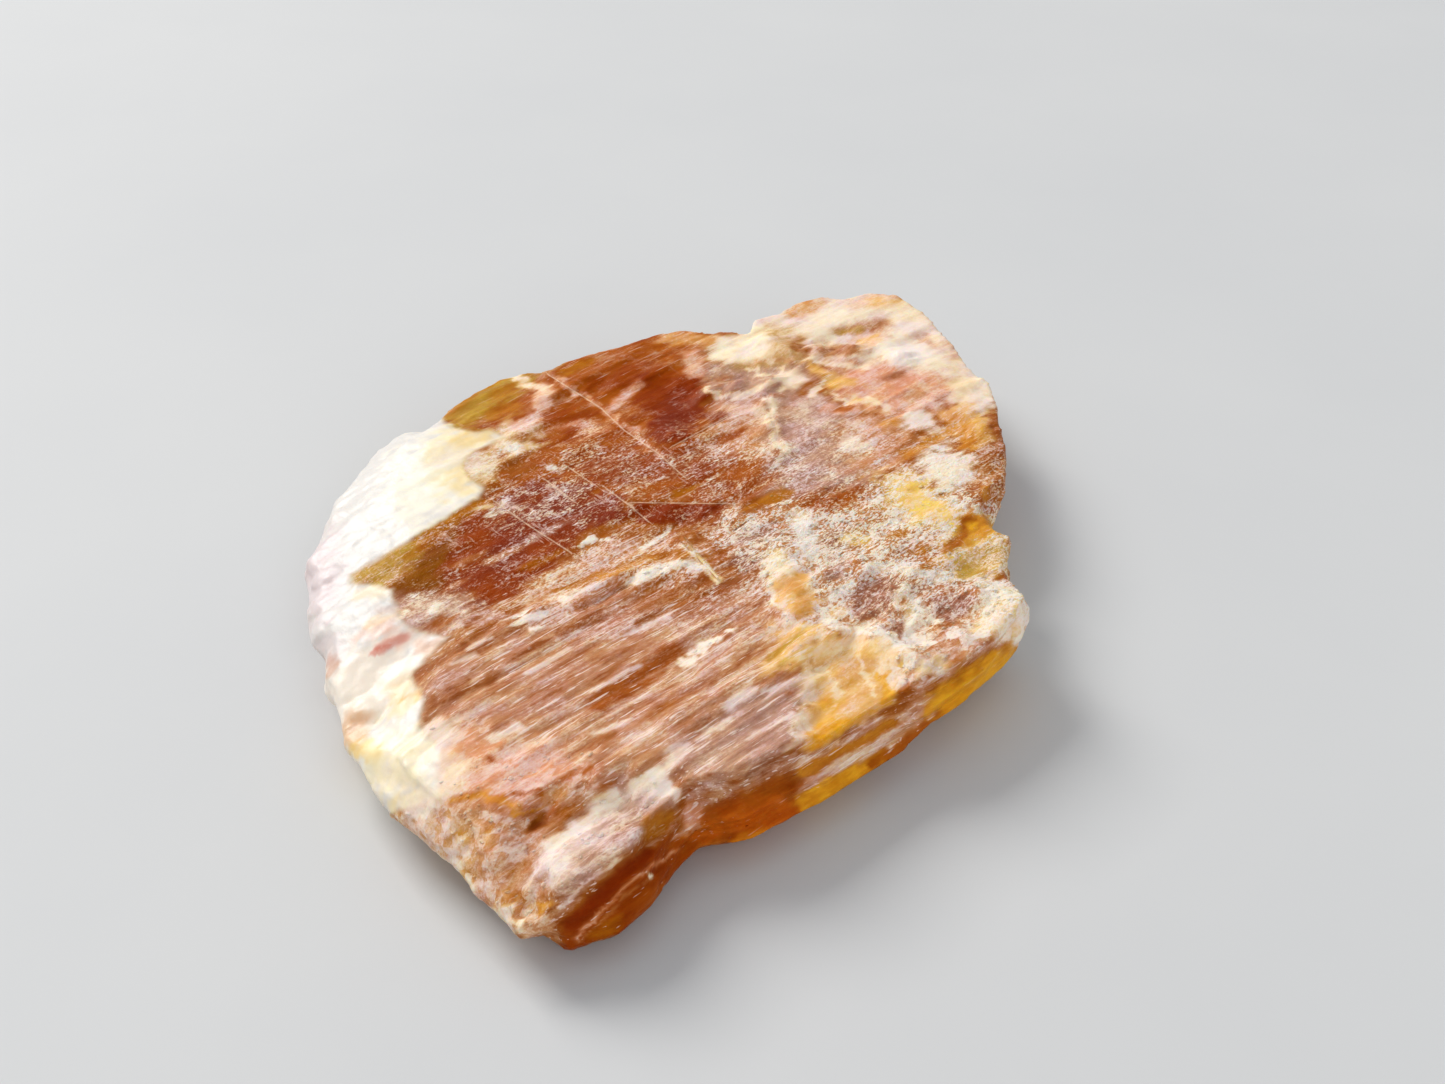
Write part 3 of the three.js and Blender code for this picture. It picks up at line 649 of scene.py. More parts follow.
def lay_front_walls(coat):
    """The front walls on the right: orange-red, then gold under pale splinters, partly painted glow."""
    coat.patch(RUST, 0.08, [
        (0.4, -12.6), (0.7, -12.8), (1.3, -11.5), (2.2, -10.7), (3.0, -10.2), (3.9, -10.6), (3.6, -11.6),
        (2.6, -12.6),
    ], 0.2, fibre=0.3, glint=0.05)
    # The flame-orange patch is painted glow of light passing through the wall, over the stone's own orange.
    coat.patch(FLAME, 0.1, [(0.8, -12.2), (1.8, -11.3), (2.8, -10.8), (3.6, -11.4), (2.6, -12.6)], 0.3, 0.7)
    coat.spot(GOLD, 0.1, (2.4, -12.2), (0.7, 0.2), 20, 0.3)
    coat.patch(CLAY, 0.7, [
        (3.3, -11.0), (3.6, -9.6), (5.0, -8.6), (6.4, -7.6), (7.6, -7.8), (6.4, -9.2), (4.6, -10.4),
    ], fibre=0.9)
    coat.streak(HONEY, 0.15, 0.17, [(3.5, -10.2), (4.8, -9.2), (5.8, -8.4)])
    coat.streak(GOLD, 0.1, 0.25, [(3.5, -11.2), (4.4, -10.4), (5.6, -9.6)], crust=0.0, glint=0.03)
    coat.streak(RUST, 0.1, 0.2, [(5.2, -9.9), (6.2, -9.0), (7.2, -8.0)], crust=0.0, glint=0.03)
    coat.patch(GOLD, 0.12, [
        (6.8, -8.2), (7.0, -7.2), (8.2, -6.0), (9.4, -4.9), (10.2, -5), (8.4, -7.4),
    ], fibre=0.2, crust=0.0, glint=0.03)


def lay_crust(coat):
    """The crumbling crust, and the stone that shows in it."""
    coat.patch(CLAY, 0.72, CRUST_BORDER, 0.35, 0.95, crust=1.0, fibre=0.1)
    coat.patch(AMBER, 0.66, [(2.7, -6.4), (2.7, -4.6), (3.5, -4.2), (4.3, -4.8), (4.0, -6.2)], crust=0.2)
    coat.streak(OLIVE, 0.4, 0.1, [(2.9, -5.8), (3.6, -5.0)], 0.7)
    coat.streak(OLIVE, 0.4, 0.1, [(3.2, -6.0), (3.8, -5.5)], 0.7)
    for colour, haze, outline in (
        (MAUVE, 0.46, [(5.2, -4.3), (5.1, -3.3), (5.7, -2.5), (6.5, -2.5), (6.6, -3.2), (6.0, -4.2)]),
        (MAUVE, 0.42, [(6.0, -4.9), (6.1, -4.4), (6.7, -3.95), (7.0, -4.1), (6.8, -4.7), (6.3, -5.1)]),
        (MAUVE, 0.52, [(7.0, -4.2), (7.1, -3.6), (7.9, -3.0), (8.6, -3.3), (8.4, -3.9), (7.6, -4.4)]),
        (SLATE, 0.6, [(4.4, -1.6), (4.5, -2.6), (5.3, -2.4), (5.3, -1.6)]),
        (MAUVE, 0.5, [(1.6, -1.9), (1.9, -1.2), (2.8, -1.1), (2.9, -1.6), (2.4, -2.2)]),
        (SLATE, 0.66, [(1.9, -1.0), (2.0, 0.0), (3.0, 0.2), (3.2, -0.6), (2.6, -1.1)]),
        (MAUVE, 0.5, [(4.3, -0.9), (4.6, -0.2), (5.6, -0.3), (5.4, -1.1)]),
        (MAUVE, 0.5, [(6.4, -1.2), (6.9, -0.6), (7.7, -0.7), (7.3, -1.4)]),
        (MAUVE, 0.5, [(6.3, -3.3), (6.8, -2.5), (7.4, -2.6), (7.0, -3.3)]),
    ):
        coat.patch(colour, haze, outline, 0.15, crust=0.45, fibre=0.8)
    coat.patch(RUST, 0.3, [(3.6, 0.9), (4.2, 1.6), (5.6, 2.0), (5.8, 1.2), (4.9, 0.6)], crust=0.4)
    coat.patch(OCHRE, 0.1, [(2.4, 0.9), (2.6, 1.3), (3.4, 1.9), (3.8, 1.7), (3.2, 1.1)], 0.15, crust=0.1)
    coat.spot(CLAY, 0.7, (7.7, -0.5), (0.7, 0.4), 15, fibre=0.9, crust=0.3)
    for colour, haze, at, radii, turn in (
        (OCHRE, 0.3, (7.2, -1.2), (0.35, 0.25), 20), (OCHRE, 0.3, (7.4, -1.8), (0.3, 0.2), 20),
        (OCHRE, 0.3, (6.6, -0.4), (0.3, 0.2), 20), (BROWN, 0.4, (7.4, -4.7), (0.25, 0.2), 20),
        (CLAY, 0.6, (7.7, -5.6), (0.5, 0.4), 30),
    ):
        coat.spot(colour, haze, at, radii, turn, crust=0.4)
    coat.spot(CREAM, 0.85, (6.98, -6.25), (0.5, 0.35), 40, 0.6, crust=0.7)
    coat.spot(CREAM, 0.9, (6.63, -3.94), (0.2, 0.4), 0, 0.7, crust=0.8)
    for at, radii in (
        ((5.5, -0.6), (0.4, 0.3)), ((4.6, -4.0), (0.3, 0.25)), ((3.7, -4.7), (0.3, 0.2)),
        ((6.8, 1.7), (0.35, 0.5)), ((5.9, -5.4), (0.3, 0.2)), ((9.2, -4.6), (0.3, 0.3)),
    ):
        coat.spot(STRAW, 0.6, at, radii, 20, crust=0.4)
    for width, path in (
        (0.32, [(3.9, 0.5), (4.1, -0.4), (3.8, -1.6), (4.1, -2.2)]), (0.12, [(4.3, -3.5), (5.3, -2.6)]),
        (0.2, [(5.8, -1.9), (7.0, -2.2), (8.0, -2.4), (9.2, -2.7)]), (0.14, [(6.6, -2.9), (6.2, -3.9)]),
        (0.2, [(5.4, -4.6), (5.9, -4.9), (6.3, -5.4), (6.8, -6.2)]), (0.16, [(6.0, 0.0), (6.7, 0.2)]),
        (0.14, [(6.7, -3.2), (6.9, -3.9), (6.5, -5.1)]), (0.16, [(4.3, -4.4), (5.2, -4.9)]),
        (0.14, [(8.2, 1.3), (8.7, 0.7)]), (0.12, [(9.0, 1.0), (9.5, 0.2)]),
    ):
        coat.streak(PEARL, 0.95, width, path, 0.7, crust=1.0)
    coat.patch(CREAM, 0.9, [
        (8.4, -4.0), (8.8, -2.8), (10, -2.6), (10.2, -4.4), (9.4, -5.2), (8.2, -5.0),
    ], 0.3, 0.8)


def lay_lens_and_plate(coat):
    """The honey lens and the amber plate, with a brown hollow on their left."""
    coat.patch(BROWN, 0.5, [
        (-1.0, -3.4), (-0.5, -2.7), (0.5, -2.2), (1.2, -2.4), (1.8, -3.4), (0.4, -4.0),
    ], 0.3, 0.8)
    coat.patch(CLAY, 0.8, [(2.8, -1.2), (4.4, -1.8), (4.6, -4.0), (3.0, -4.6)], 0.3, 0.8, fibre=0.3)
    coat.patch(AMBER, 0.6, [
        (3.1, -4.0), (3.0, -3.0), (3.2, -2.0), (3.8, -2.1), (4.2, -2.9), (4.3, -3.6), (3.9, -4.2),
    ], 0.15, 0.95, crust=0.0, fibre=0.3, glint=0.25)
    coat.streak(HONEY, 0.45, 0.2, [(3.5, -2.4), (3.8, -3.2), (3.8, -3.9)], 0.6)
    coat.patch(CREAM, 0.85, [
        (2.8, -2.3), (2.8, -1.4), (3.3, -1.2), (3.7, -2.1), (3.4, -2.4),
    ], 0.15, crust=0.2)
    coat.streak(CREAM, 0.85, 0.1, [(2.95, -2.4), (3.1, -3.4), (3.4, -4.4)], 0.8, crust=0.6)
    coat.patch(AMBER, 0.58, [
        (4.0, -5.6), (4.8, -5.0), (5.8, -5.2), (6.2, -6.0), (6.1, -7.0), (5.9, -7.6), (4.9, -8.4),
        (3.7, -9.3), (3.5, -8.6), (3.8, -7.2),
    ], 0.2, crust=0.0, fibre=0.15, glint=0.2)
    coat.patch(STRAW, 0.8, [
        (3.6, -5.8), (4.4, -4.9), (5.9, -5.0), (6.5, -6.0), (6.2, -6.9), (5.6, -5.9), (4.8, -5.7),
    ], 0.3, 0.85)
    coat.patch(CREAM, 0.8, [
        (3.3, -9.3), (3.5, -7.6), (3.8, -6.0), (4.2, -6.4), (3.9, -7.8), (3.7, -8.8),
    ], 0.2, 0.6)
    coat.patch(GOLD, 0.36, [
        (3.55, -9.3), (3.9, -8.6), (4.8, -8.0), (5.7, -7.7), (4.9, -8.4), (4.1, -9.2),
    ], 0.15, 0.95, fibre=0.3)
    coat.spot(HONEY, 0.4, (4.9, -6.6), (0.6, 0.35), 30, 0.5)
    coat.spot(GOLD, 0.2, (4.3, -7.8), (0.3, 0.4), 0, 0.5)
    coat.streak(GOLD, 0.1, 0.1, [(5.8, -6.4), (6.0, -7.0), (5.7, -7.6)], 0.6)
    coat.streak(STRAW, 0.85, 0.07, [(4.9, -6.0), (5.4, -6.6), (5.5, -7.4)], 0.8)
    coat.streak(STRAW, 0.8, 0.07, [(4.2, -6.4), (4.5, -7.2), (4.3, -8.0)], 0.7)


def lay_notch(coat):
    """The notch on the right and the yellow patch behind it."""
    coat.patch(STRAW, 0.8, [
        (7.6, -1.3), (8.2, 0.6), (9.4, 0.6), (9.9, -0.8), (9.4, -2.4), (8.0, -2.3),
    ], 0.3, 0.8, crust=0.2)
    coat.patch(HONEY, 0.2, [
        (8.1, -1.0), (8.4, 0.2), (8.9, 0.9), (9.3, 0.5), (9.4, 0.0), (9.1, -0.5), (8.6, -0.9),
    ], 0.15, 0.95, crust=0.0, fibre=0.4)
    coat.streak(RUST, 0.1, 0.2, [(7.9, -1.2), (8.4, -0.4), (8.8, 0.4)], 0.8)
    coat.patch(OLIVE, 0.62, [
        (8.0, -1.4), (8.9, -1.0), (9.4, -0.5), (9.8, -1.4), (9.2, -2.1), (8.2, -2.0),
    ], 0.25, 0.8, crust=0.1, fibre=0.4)
    coat.spot(OLIVE, 0.35, (8.6, -2.2), (0.35, 0.28), 0, 0.8, crust=0.1)
    coat.spot(GOLD, 0.15, (9.35, -0.15), (0.25, 0.25))
    coat.spot(GOLD, 0.15, (8.75, 0.0), (0.14, 0.3), -20)
    coat.patch(STRAW, 0.85, [
        (6.2, 1.2), (6.2, 2.6), (7.6, 2.6), (8.4, 0.8), (8.2, -0.1), (7.0, 0.0),
    ], 0.3, 0.85, crust=0.4)
    coat.patch(STRAW, 0.5, [
        (7.0, 2.1), (7.4, 2.0), (8.1, 0.9), (8.2, 0.2), (7.6, 0.1), (6.9, 0.9),
    ], 0.2, 0.95, crust=0.1, fibre=0.2, glint=0.4)
    coat.patch(OCHRE, 0.55, [(6.1, 0.8), (6.0, 1.8), (6.4, 1.9), (6.5, 1.0)], 0.2, 0.6)


def lay_back_right(coat):
    """Back right: grey-brown folds, tan and orange hollows, and the pale lobe."""
    coat.patch(SLATE, 0.56, [(1.2, 7.3), (1.0, 9.0), (3.9, 9.1), (4.6, 8.0), (3.4, 7.0)], fibre=0.3)
    coat.patch(OLIVE, 0.5, [(1.6, 8.6), (2.2, 9.2), (3.6, 9.2), (3.8, 8.8), (2.4, 8.7)], 0.2, 0.7)
    coat.spot(BROWN, 0.4, (1.7, 8.0), (0.4, 0.3), 20, 0.7)
    coat.spot(SLATE, 0.5, (2.2, 6.8), (0.5, 0.3), 0, 0.7)
    coat.patch(SALMON, 0.66, [
        (5.4, 9.4), (5.2, 6.2), (8.2, 6.0), (9.2, 6.4), (9.0, 8.6), (7.2, 9.4),
    ], 0.5, fibre=0.3)
    coat.patch(CLAY, 0.88, [
        (2.4, 9.2), (2.4, 12.5), (6, 15), (9, 14), (11, 9), (10.6, 6.4), (9.2, 6.4), (9.0, 8.4), (6.8, 9.2),
    ], 0.4, 0.95, fibre=0.25)
    coat.patch(CREAM, 0.95, [
        (1.2, 9.3), (1.4, 10.6), (2.4, 11.0), (2.6, 12), (3.4, 11.6), (3.3, 9.5), (2, 9),
    ], 0.25, fibre=0.2)
    coat.patch(OLIVE, 0.6, [
        (3.2, 9.4), (3.2, 11.8), (4.0, 11.6), (4.6, 10.2), (4.4, 9.3),
    ], 0.3, 0.85, fibre=0.2)
    coat.patch(PEARL, 0.95, [(4.4, 10.6), (4.4, 12.4), (5.8, 12.8), (6.2, 11.8), (5.4, 10.6)], 0.4, 0.7)
    coat.patch(CREAM, 0.9, [(7.2, 11), (7.0, 13.4), (8.4, 12.8), (9.0, 10.8), (8.0, 10.2)], 0.4, 0.6)
    coat.patch(CREAM, 0.85, [(9.0, 9.6), (8.8, 6.8), (9.8, 5.8), (10.6, 7.6), (9.8, 9.4)], 0.3, 0.7)
    for colour, haze, at, radii, turn in (
        (HONEY, 0.5, (4.4, 12.6), (0.8, 0.4), 35), (AMBER, 0.6, (7.1, 13.2), (0.8, 0.5), 10),
        (BROWN, 0.5, (6.5, 11.4), (1.0, 0.45), 10), (BROWN, 0.55, (5.6, 9.9), (1.1, 0.4), 5),
        (OLIVE, 0.4, (5.9, 11.1), (0.4, 0.3), 0), (BROWN, 0.45, (4.2, 10.1), (0.25, 0.5), 30),
        (IVORY, 1.6, (7.7, 9.7), (0.9, 0.6), -30), (CLAY, 0.6, (8.4, 10.7), (0.3, 0.5), 30),
        (AMBER, 0.45, (5.4, 7.9), (0.8, 0.4), -20), (AMBER, 0.55, (4.7, 8.6), (0.6, 0.2), -45),
        (RUST, 0.3, (5.5, 6.3), (0.22, 0.2), 0), (STRAW, 0.7, (5.9, 6.8), (0.3, 0.3), 0),
        (BROWN, 0.5, (7.2, 8.2), (0.4, 0.25), 30), (CLAY, 0.6, (7.6, 6.9), (0.5, 0.3), 60),
        (BROWN, 0.6, (8.6, 6.7), (0.3, 0.5), 0), (HONEY, 0.5, (7.0, 5.6), (0.4, 0.3), 30),
        (PEARL, 0.85, (7.8, 5.5), (0.5, 0.6), 0), (AMBER, 0.5, (9.2, 5.4), (0.6, 1.2), 10),
        (HONEY, 0.5, (8.9, 5.2), (0.4, 0.9), 15), (HONEY, 0.35, (9.2, 4.4), (0.3, 0.4), 0),
        (LAVENDER, 0.82, (5.7, 4.2), (0.4, 0.5), 0), (BROWN, 0.45, (9.5, 3.2), (0.3, 0.5), 0),
        (HONEY, 0.3, (9.5, 1.8), (0.25, 0.5), 0), (CLAY, 0.6, (9.3, 2.4), (0.3, 0.3), 0),
        (AMBER, 0.55, (6.5, 10.5), (0.5, 0.4), 10), (PEARL, 0.8, (3.8, 8.0), (0.5, 0.4), 0),
    ):
        coat.spot(colour, haze, at, radii, turn, 0.85)
    coat.streak(HONEY, 0.4, 0.2, [(7.2, 3.6), (8.2, 4.6)], 0.8)
    coat.streak(CLAY, 0.55, 0.2, [
        (3.0, 12.2), (4.2, 13.2), (5.6, 13.8), (6.9, 14.0), (8.2, 13.3), (8.9, 12.0),
    ], 0.7)
    coat.patch(PEARL, 0.95, [
        (7.7, 3.6), (8.4, 4.2), (9.1, 3.6), (9.0, 2.2), (8.2, 1.8), (7.6, 2.6),
    ], 0.3, 0.85, fibre=0.3)
    for width, path in (
        (0.14, [(1.2, 7.5), (1.6, 7.1), (2.3, 7.0), (2.8, 7.5), (3.3, 7.9)]),
        (0.1, [(2.6, 8.8), (2.9, 8.2)]), (0.12, [(3.4, 8.5), (3.6, 7.5)]), (0.12, [(4.9, 7.9), (4.3, 6.9)]),
        (0.1, [(3.1, 7.0), (3.1, 6.0)]), (0.14, [(3.1, 5.9), (3.3, 5.0), (3.4, 4.1), (3.4, 3.2)]),
        (0.1, [(6.2, 6.9), (6.8, 6.2)]), (0.14, [(4.4, 9.2), (5.2, 9.0), (6.4, 8.8)]),
        (0.1, [(5.0, 7.3), (5.6, 6.6)]),
    ):
        coat.streak(CREAM, 0.9, width, path, 0.6)


def lay_quartz(coat):
    """The quartz on the left, tinted along the kyanite and under its rim, with painted shade and light."""
    coat.patch(MILK, 0.0, QUARTZ_BORDER, 0.15, 1.0, crisp=True, quartz=1.0, crust=0.0, fibre=0.0)
    # Painted shade: the lavender spots on the far left rim. Painted light: the ivory spots, and the cream
    # spot at (-6.2, -10.0), on facets turned from the window.
    for colour, at, radii, turn, strength in (
        (PEARL, (-7.4, -7.0), (1.4, 2.4), -10, 0.8), (IVORY, (-6.9, 2.2), (1.3, 2.8), 0, 0.95),
        (IVORY, (-6.6, -9.6), (1.2, 1.2), 0, 0.9), (CREAM, (-6.3, 3.6), (0.9, 1.8), 0, 0.7),
        (STRAW, (-6.3, 4.4), (0.3, 0.5), 0, 0.4), (STRAW, (-6.0, 2.5), (0.5, 0.9), 0, 0.35),
        (STRAW, (-5.7, 4.7), (0.5, 0.3), 0, 0.5), (SALMON, (-7.5, -4.7), (0.6, 0.3), 40, 0.3),
        (AMBER, (-7.6, -4.3), (0.4, 0.2), 40, 0.4), (GOLD, (-6.2, -7.4), (0.16, 0.2), 0, 0.6),
        (STRAW, (-6.5, -7.3), (0.4, 0.7), 0, 0.4), (HONEY, (-7.5, -8.7), (0.4, 0.8), 10, 0.55),
        (STRAW, (-7.2, -9.4), (0.4, 0.4), 0, 0.7), (CLAY, (-8.5, -6.2), (0.2, 0.4), 20, 0.6),
        (CREAM, (-6.2, -10.0), (0.9, 1.2), 0, 0.6), (SALMON, (-6.9, -4.9), (0.5, 0.5), 40, 0.25),
        (CREAM, (-5.6, -11.0), (0.6, 0.3), 0, 0.8), (LAVENDER, (-9.6, -2.4), (0.7, 2.4), 0, 0.6),
        (LAVENDER, (-8.6, -5.4), (0.5, 0.8), 20, 0.35), (SLATE, (-7.0, -3.9), (0.5, 0.25), -20, 0.35),
        (CLAY, (-6.1, -5.3), (0.25, 0.4), -20, 0.5), (CREAM, (-7.9, -3.0), (0.5, 0.4), 0, 0.5),
    ):
        coat.spot(colour, None, at, radii, turn, strength)
    coat.streak(PEARL, 0.9, 0.4, [
        (-5.5, -8.6), (-5.1, -9.6), (-5.0, -10.6), (-5.4, -11.2),
    ], 0.6, quartz=0.4)
    coat.streak(AMBER, 0.8, 0.25, [(-4.9, -9.4), (-4.8, -10.6)], 0.5)
    coat.streak(PINK, None, 0.15, [(-7.45, -5.75), (-7.1, -5.4)], 0.7)
    coat.streak(PINK, None, 0.16, [(-7.15, -5.3), (-6.7, -4.95)], 0.6)


def lay_pale_marks(coat):
    """The pale band along the long crack, raised white and cream flakes, and a painted highlight on a step.
    """
    coat.streak(SALMON, 0.85, 0.12, [(-3.9, 8.2), (-2.2, 6.3), (-1.4, 5.0), (-0.2, 3.6)], 0.5)
    # The white arc is a step's face turned to the light: painted highlight, with crumbly relief.
    lit_step_arc = dict(crisp=True, crust=0.6)
    coat.streak(PEARL, 1.0, 0.16, [
        (-0.8, -2.6), (-0.5, -2.2), (0.0, -1.95), (0.6, -1.78), (1.0, -2.0),
    ], **lit_step_arc)
    coat.spot(PEARL, 1.1, (-0.5, -2.4), (0.3, 0.2), 40, **lit_step_arc)
    coat.streak(CREAM, 0.8, 0.09, [(0.55, -0.85), (1.0, -1.6), (1.5, -2.55)], 1.0, crisp=True)
    coat.streak(PEARL, 1.1, 0.07, [(-2.25, -0.9), (-2.0, -0.45), (-1.7, -0.8)], 0.8, crust=0.8)
    coat.spot(PEARL, 1.1, (-2.0, -0.6), (0.14, 0.16), 0, 0.7, crust=0.8)
    coat.streak(PEARL, 1.1, 0.06, [(-0.6, -1.0), (-0.2, -0.7), (0.1, -0.25)], 0.8, crust=0.6)
    coat.spot(PEARL, 1.1, (0.1, -0.1), (0.1, 0.14), 0, 0.7, crust=0.8)
    for at, radii, turn in (
        ((-3.5, -4.2), (0.3, 0.2), 0), ((-3.3, -4.6), (0.24, 0.1), 20), ((0.7, -6.0), (0.2, 0.16), 0),
        ((0.95, -5.6), (0.2, 0.14), 40), ((1.2, -5.3), (0.16, 0.12), 40), ((1.6, -4.95), (0.16, 0.08), 0),
        ((-3.3, 3.0), (0.2, 0.16), 0), ((-2.7, -3.4), (0.2, 0.12), 20), ((-6.1, -3.8), (0.16, 0.2), 0),
        ((-7.0, -4.1), (0.12, 0.2), 0), ((-4.6, 4.1), (0.3, 0.2), 20),
    ):
        coat.spot(PEARL, 1.2, at, radii, turn, 0.75, crust=0.8)


def coat_of(points):
    """Everything that covers those points, laid region by region."""
    coat = Coat(points)
    for lay_region in (
        lay_ground, lay_back_left, lay_wine_window, lay_striated_field, lay_front_ledge,
        lay_front_walls, lay_crust, lay_lens_and_plate, lay_notch, lay_back_right, lay_quartz,
        lay_pale_marks,
    ):
        lay_region(coat)
    return coat


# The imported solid, drawn in along the fibres before it is remeshed, so that the cells of the fine
# skin come out longer along them than across.
rough_form = bmesh.new()
rough_form.from_mesh(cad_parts["kyanite_crystal"].data)
bmesh.ops.remove_doubles(rough_form, verts=rough_form.verts, dist=0.0005 * MM)
to_fibres = np.diag((1 / CELL_STRETCH, 1, 1)) @ FIBRE_AXES / MM
for vertex in rough_form.verts:
    vertex.co = Vector(to_fibres @ np.array(vertex.co))
chip_mesh = bpy.data.meshes.new("kyanite_chip")
rough_form.to_mesh(chip_mesh)
rough_form.free()
chip = bpy.data.objects.new("kyanite_chip", chip_mesh)
bpy.context.scene.collection.objects.link(chip)


def settle(piece, modifier, kind, **settings):
    """Gives the piece a modifier, and keeps its result as the piece's own mesh."""
    added = piece.modifiers.new(modifier, kind)
    for name, setting in settings.items():
        setattr(added, name, setting)
    bpy.context.view_layer.update()
    shaped = piece.evaluated_get(bpy.context.evaluated_depsgraph_get())
    result = bpy.data.meshes.new_from_object(shaped)
    piece.modifiers.clear()
    piece.data = result
    return result


def read_points(mesh, kind="co"):
    """The places or the normals of a mesh's vertices, one row for each."""
    values = np.zeros(len(mesh.vertices) * 3)
    mesh.vertices.foreach_get(kind, values)
    return values.reshape(-1, 3)


skin = settle(chip, "fine_skin", "REMESH", mode="VOXEL", voxel_size=SKIN_CELL)
points = read_points(skin) @ np.linalg.inv(to_fibres).T / MM
skin.vertices.foreach_set("co", points.ravel())
skin.update()
normals = read_points(skin, "normal")
lengthwise = points @ FIBRE_AXES.T

# Each kind of lump is its size, its height and its seed. Ribs and terraces run along the fibres.
RIB_STRETCH = (0.12, 1, 2.0)
RIBS = ((0.34, 0.035, 11), (0.15, 0.03, 12))
TERRACE_STRETCH = (0.14, 1, 1.5)
TERRACE_SIZE = 0.85
TERRACE_COUNT = 2.6
TERRACE_STEP = 0.035
TERRACE_SLOPE = 0.3
CRUMBLE = ((0.8, 0.06, 17), (0.42, 0.06, 14), (0.2, 0.05, 15))
ROUGHNESS = ((0.17, 0.015, 16),)
KNOB_SIZE = 1.1
KNOB_HEIGHT = 0.03
KNOB_ROUGHNESS = ((0.6, 0.02, 8),)
CRACK_DEPTH = 0.05
CRACK_WIDTH = 0.06
CRACK_LIP = 0.03
LIP_WIDTH = 0.07


def lumps(points, kinds):
    """Relief of several kinds of lumps, one on another."""
    return sum(height * grain(points, size, seed) for size, height, seed in kinds)


coat = coat_of(points)
terrace = TERRACE_COUNT * grain(lengthwise * TERRACE_STRETCH, TERRACE_SIZE, 13)
tread = np.floor(terrace)
ribs = lumps(lengthwise * RIB_STRETCH, RIBS)
ribs += TERRACE_STEP * (tread + smooth((terrace - tread) / TERRACE_SLOPE))
knobs = KNOB_HEIGHT * pebbles(points, KNOB_SIZE, 3) + lumps(points, KNOB_ROUGHNESS) - KNOB_HEIGHT
rise = (1 - coat.quartz) * (0.4 + 0.6 * coat.fibre) * ribs
rise += coat.crust * lumps(points, CRUMBLE)
rise += coat.quartz * knobs
rise += lumps(points, ROUGHNESS)
rise += CRACK_LIP * np.exp(-(((np.abs(coat.crack) - 2 * CRACK_WIDTH) / LIP_WIDTH) ** 2))
rise -= CRACK_DEPTH * np.exp(-((coat.crack / CRACK_WIDTH) ** 2))
low, high = np.array(cad_box) / MM
points = np.clip(points + rise[:, None] * normals, low, high)
skin.vertices.foreach_set("co", points.ravel())
skin.update()

# The plain underside gives up most of its triangles, and the shown faces keep theirs.
MOST_TRIANGLES = 190000
DOWNWARD = -0.7
UNDERSIDE_REACH = 0.7
underside = chip.vertex_groups.new(name="underside")
flat = np.flatnonzero((normals[:, 2] < DOWNWARD) & (points[:, 2] < UNDERSIDE_REACH))
underside.add(flat.tolist(), 1.0, "REPLACE")
share = min(1, MOST_TRIANGLES / (2 * len(skin.polygons)))
skin = settle(chip, "sparse_underside", "DECIMATE", ratio=share, vertex_group="underside")
points = np.clip(read_points(skin), low, high)


def cover(mesh, points, powder=0.0):
    """Puts a mesh's points in place, and writes what covers them for the finish to read.

    That share of pale powder lies over it all.
    """
    coat = coat_of(points)
    coat.lay(np.full(len(points), powder), PEARL, 1.0)
    colours = mesh.attributes.new("stain_and_painted_light", "FLOAT_COLOR", "POINT")
    colours.data.foreach_set("color", np.column_stack((coat.stain_and_painted_light, np.ones(len(points)))).ravel())
    for level in LEVELS:
        values = mesh.attributes.new(level, "FLOAT", "POINT")
        values.data.foreach_set("value", getattr(coat, level))
    mesh.vertices.foreach_set("co", (points * MM).ravel())
    mesh.update()
    return coat


coat = cover(skin, points)
normals = read_points(skin, "normal")
skin.shade_smooth()

# The finish, worked in millimetres with the fibres along its first axis. The clear stone varies
# between a deeper and a warmer kind of its colour, which holds some painted light and shade.
DEEPER = (0.80, 0.66, 0.42)
WARMER = (1.18, 1.34, 1.0)
# The film is a frost of fine cracks and powder; its pink haze is partly painted sheen.
FILM_PINK = (0.82, 0.54, 0.47, 1)
FILM_TAN = (0.87, 0.59, 0.36, 1)
FROST_PINK = (0.93, 0.80, 0.77, 1)
FROST_CREAM = (0.99, 0.88, 0.66, 1)
CHALK = (1.0, 0.92, 0.80, 1)
STREAK_HIGHLIGHT_WHITE = (0.94, 0.78, 0.70, 1)
CROSS_CRACK_TAN = (0.86, 0.60, 0.50, 1)
HAIRLINE_TAN = (0.90, 0.68, 0.50, 1)
PAINTED_GLINT_WHITE = (0.98, 0.92, 0.84, 1)
PAINTED_GLINT_RED = (0.90, 0.52, 0.40, 1)
QUARTZ_GREY = (0.80, 0.72, 0.72, 1)
QUARTZ_DUST = (0.75, 0.68, 0.62, 1)

kyanite = Finish("fibrous_kyanite")
place = kyanite.node("TexCoord", {}, {}, output=3)
in_mm = kyanite.node("Mapping", {}, {
    "Vector": place, "Rotation": (0, 0, -FIBRE_TURN), "Scale": (1 / MM, 1 / MM, 1 / MM),
})
stain_and_painted_light = kyanite.node("Attribute", {"attribute_name": "stain_and_painted_light"}, {}, output=0)
haze, fibre, crust, quartz, crack, glint = [kyanite.level(name) for name in LEVELS]


def drawn_out(*factors):
    """The place on the chip, with each axis scaled for a pattern."""
    return kyanite.stretch(in_mm, factors)


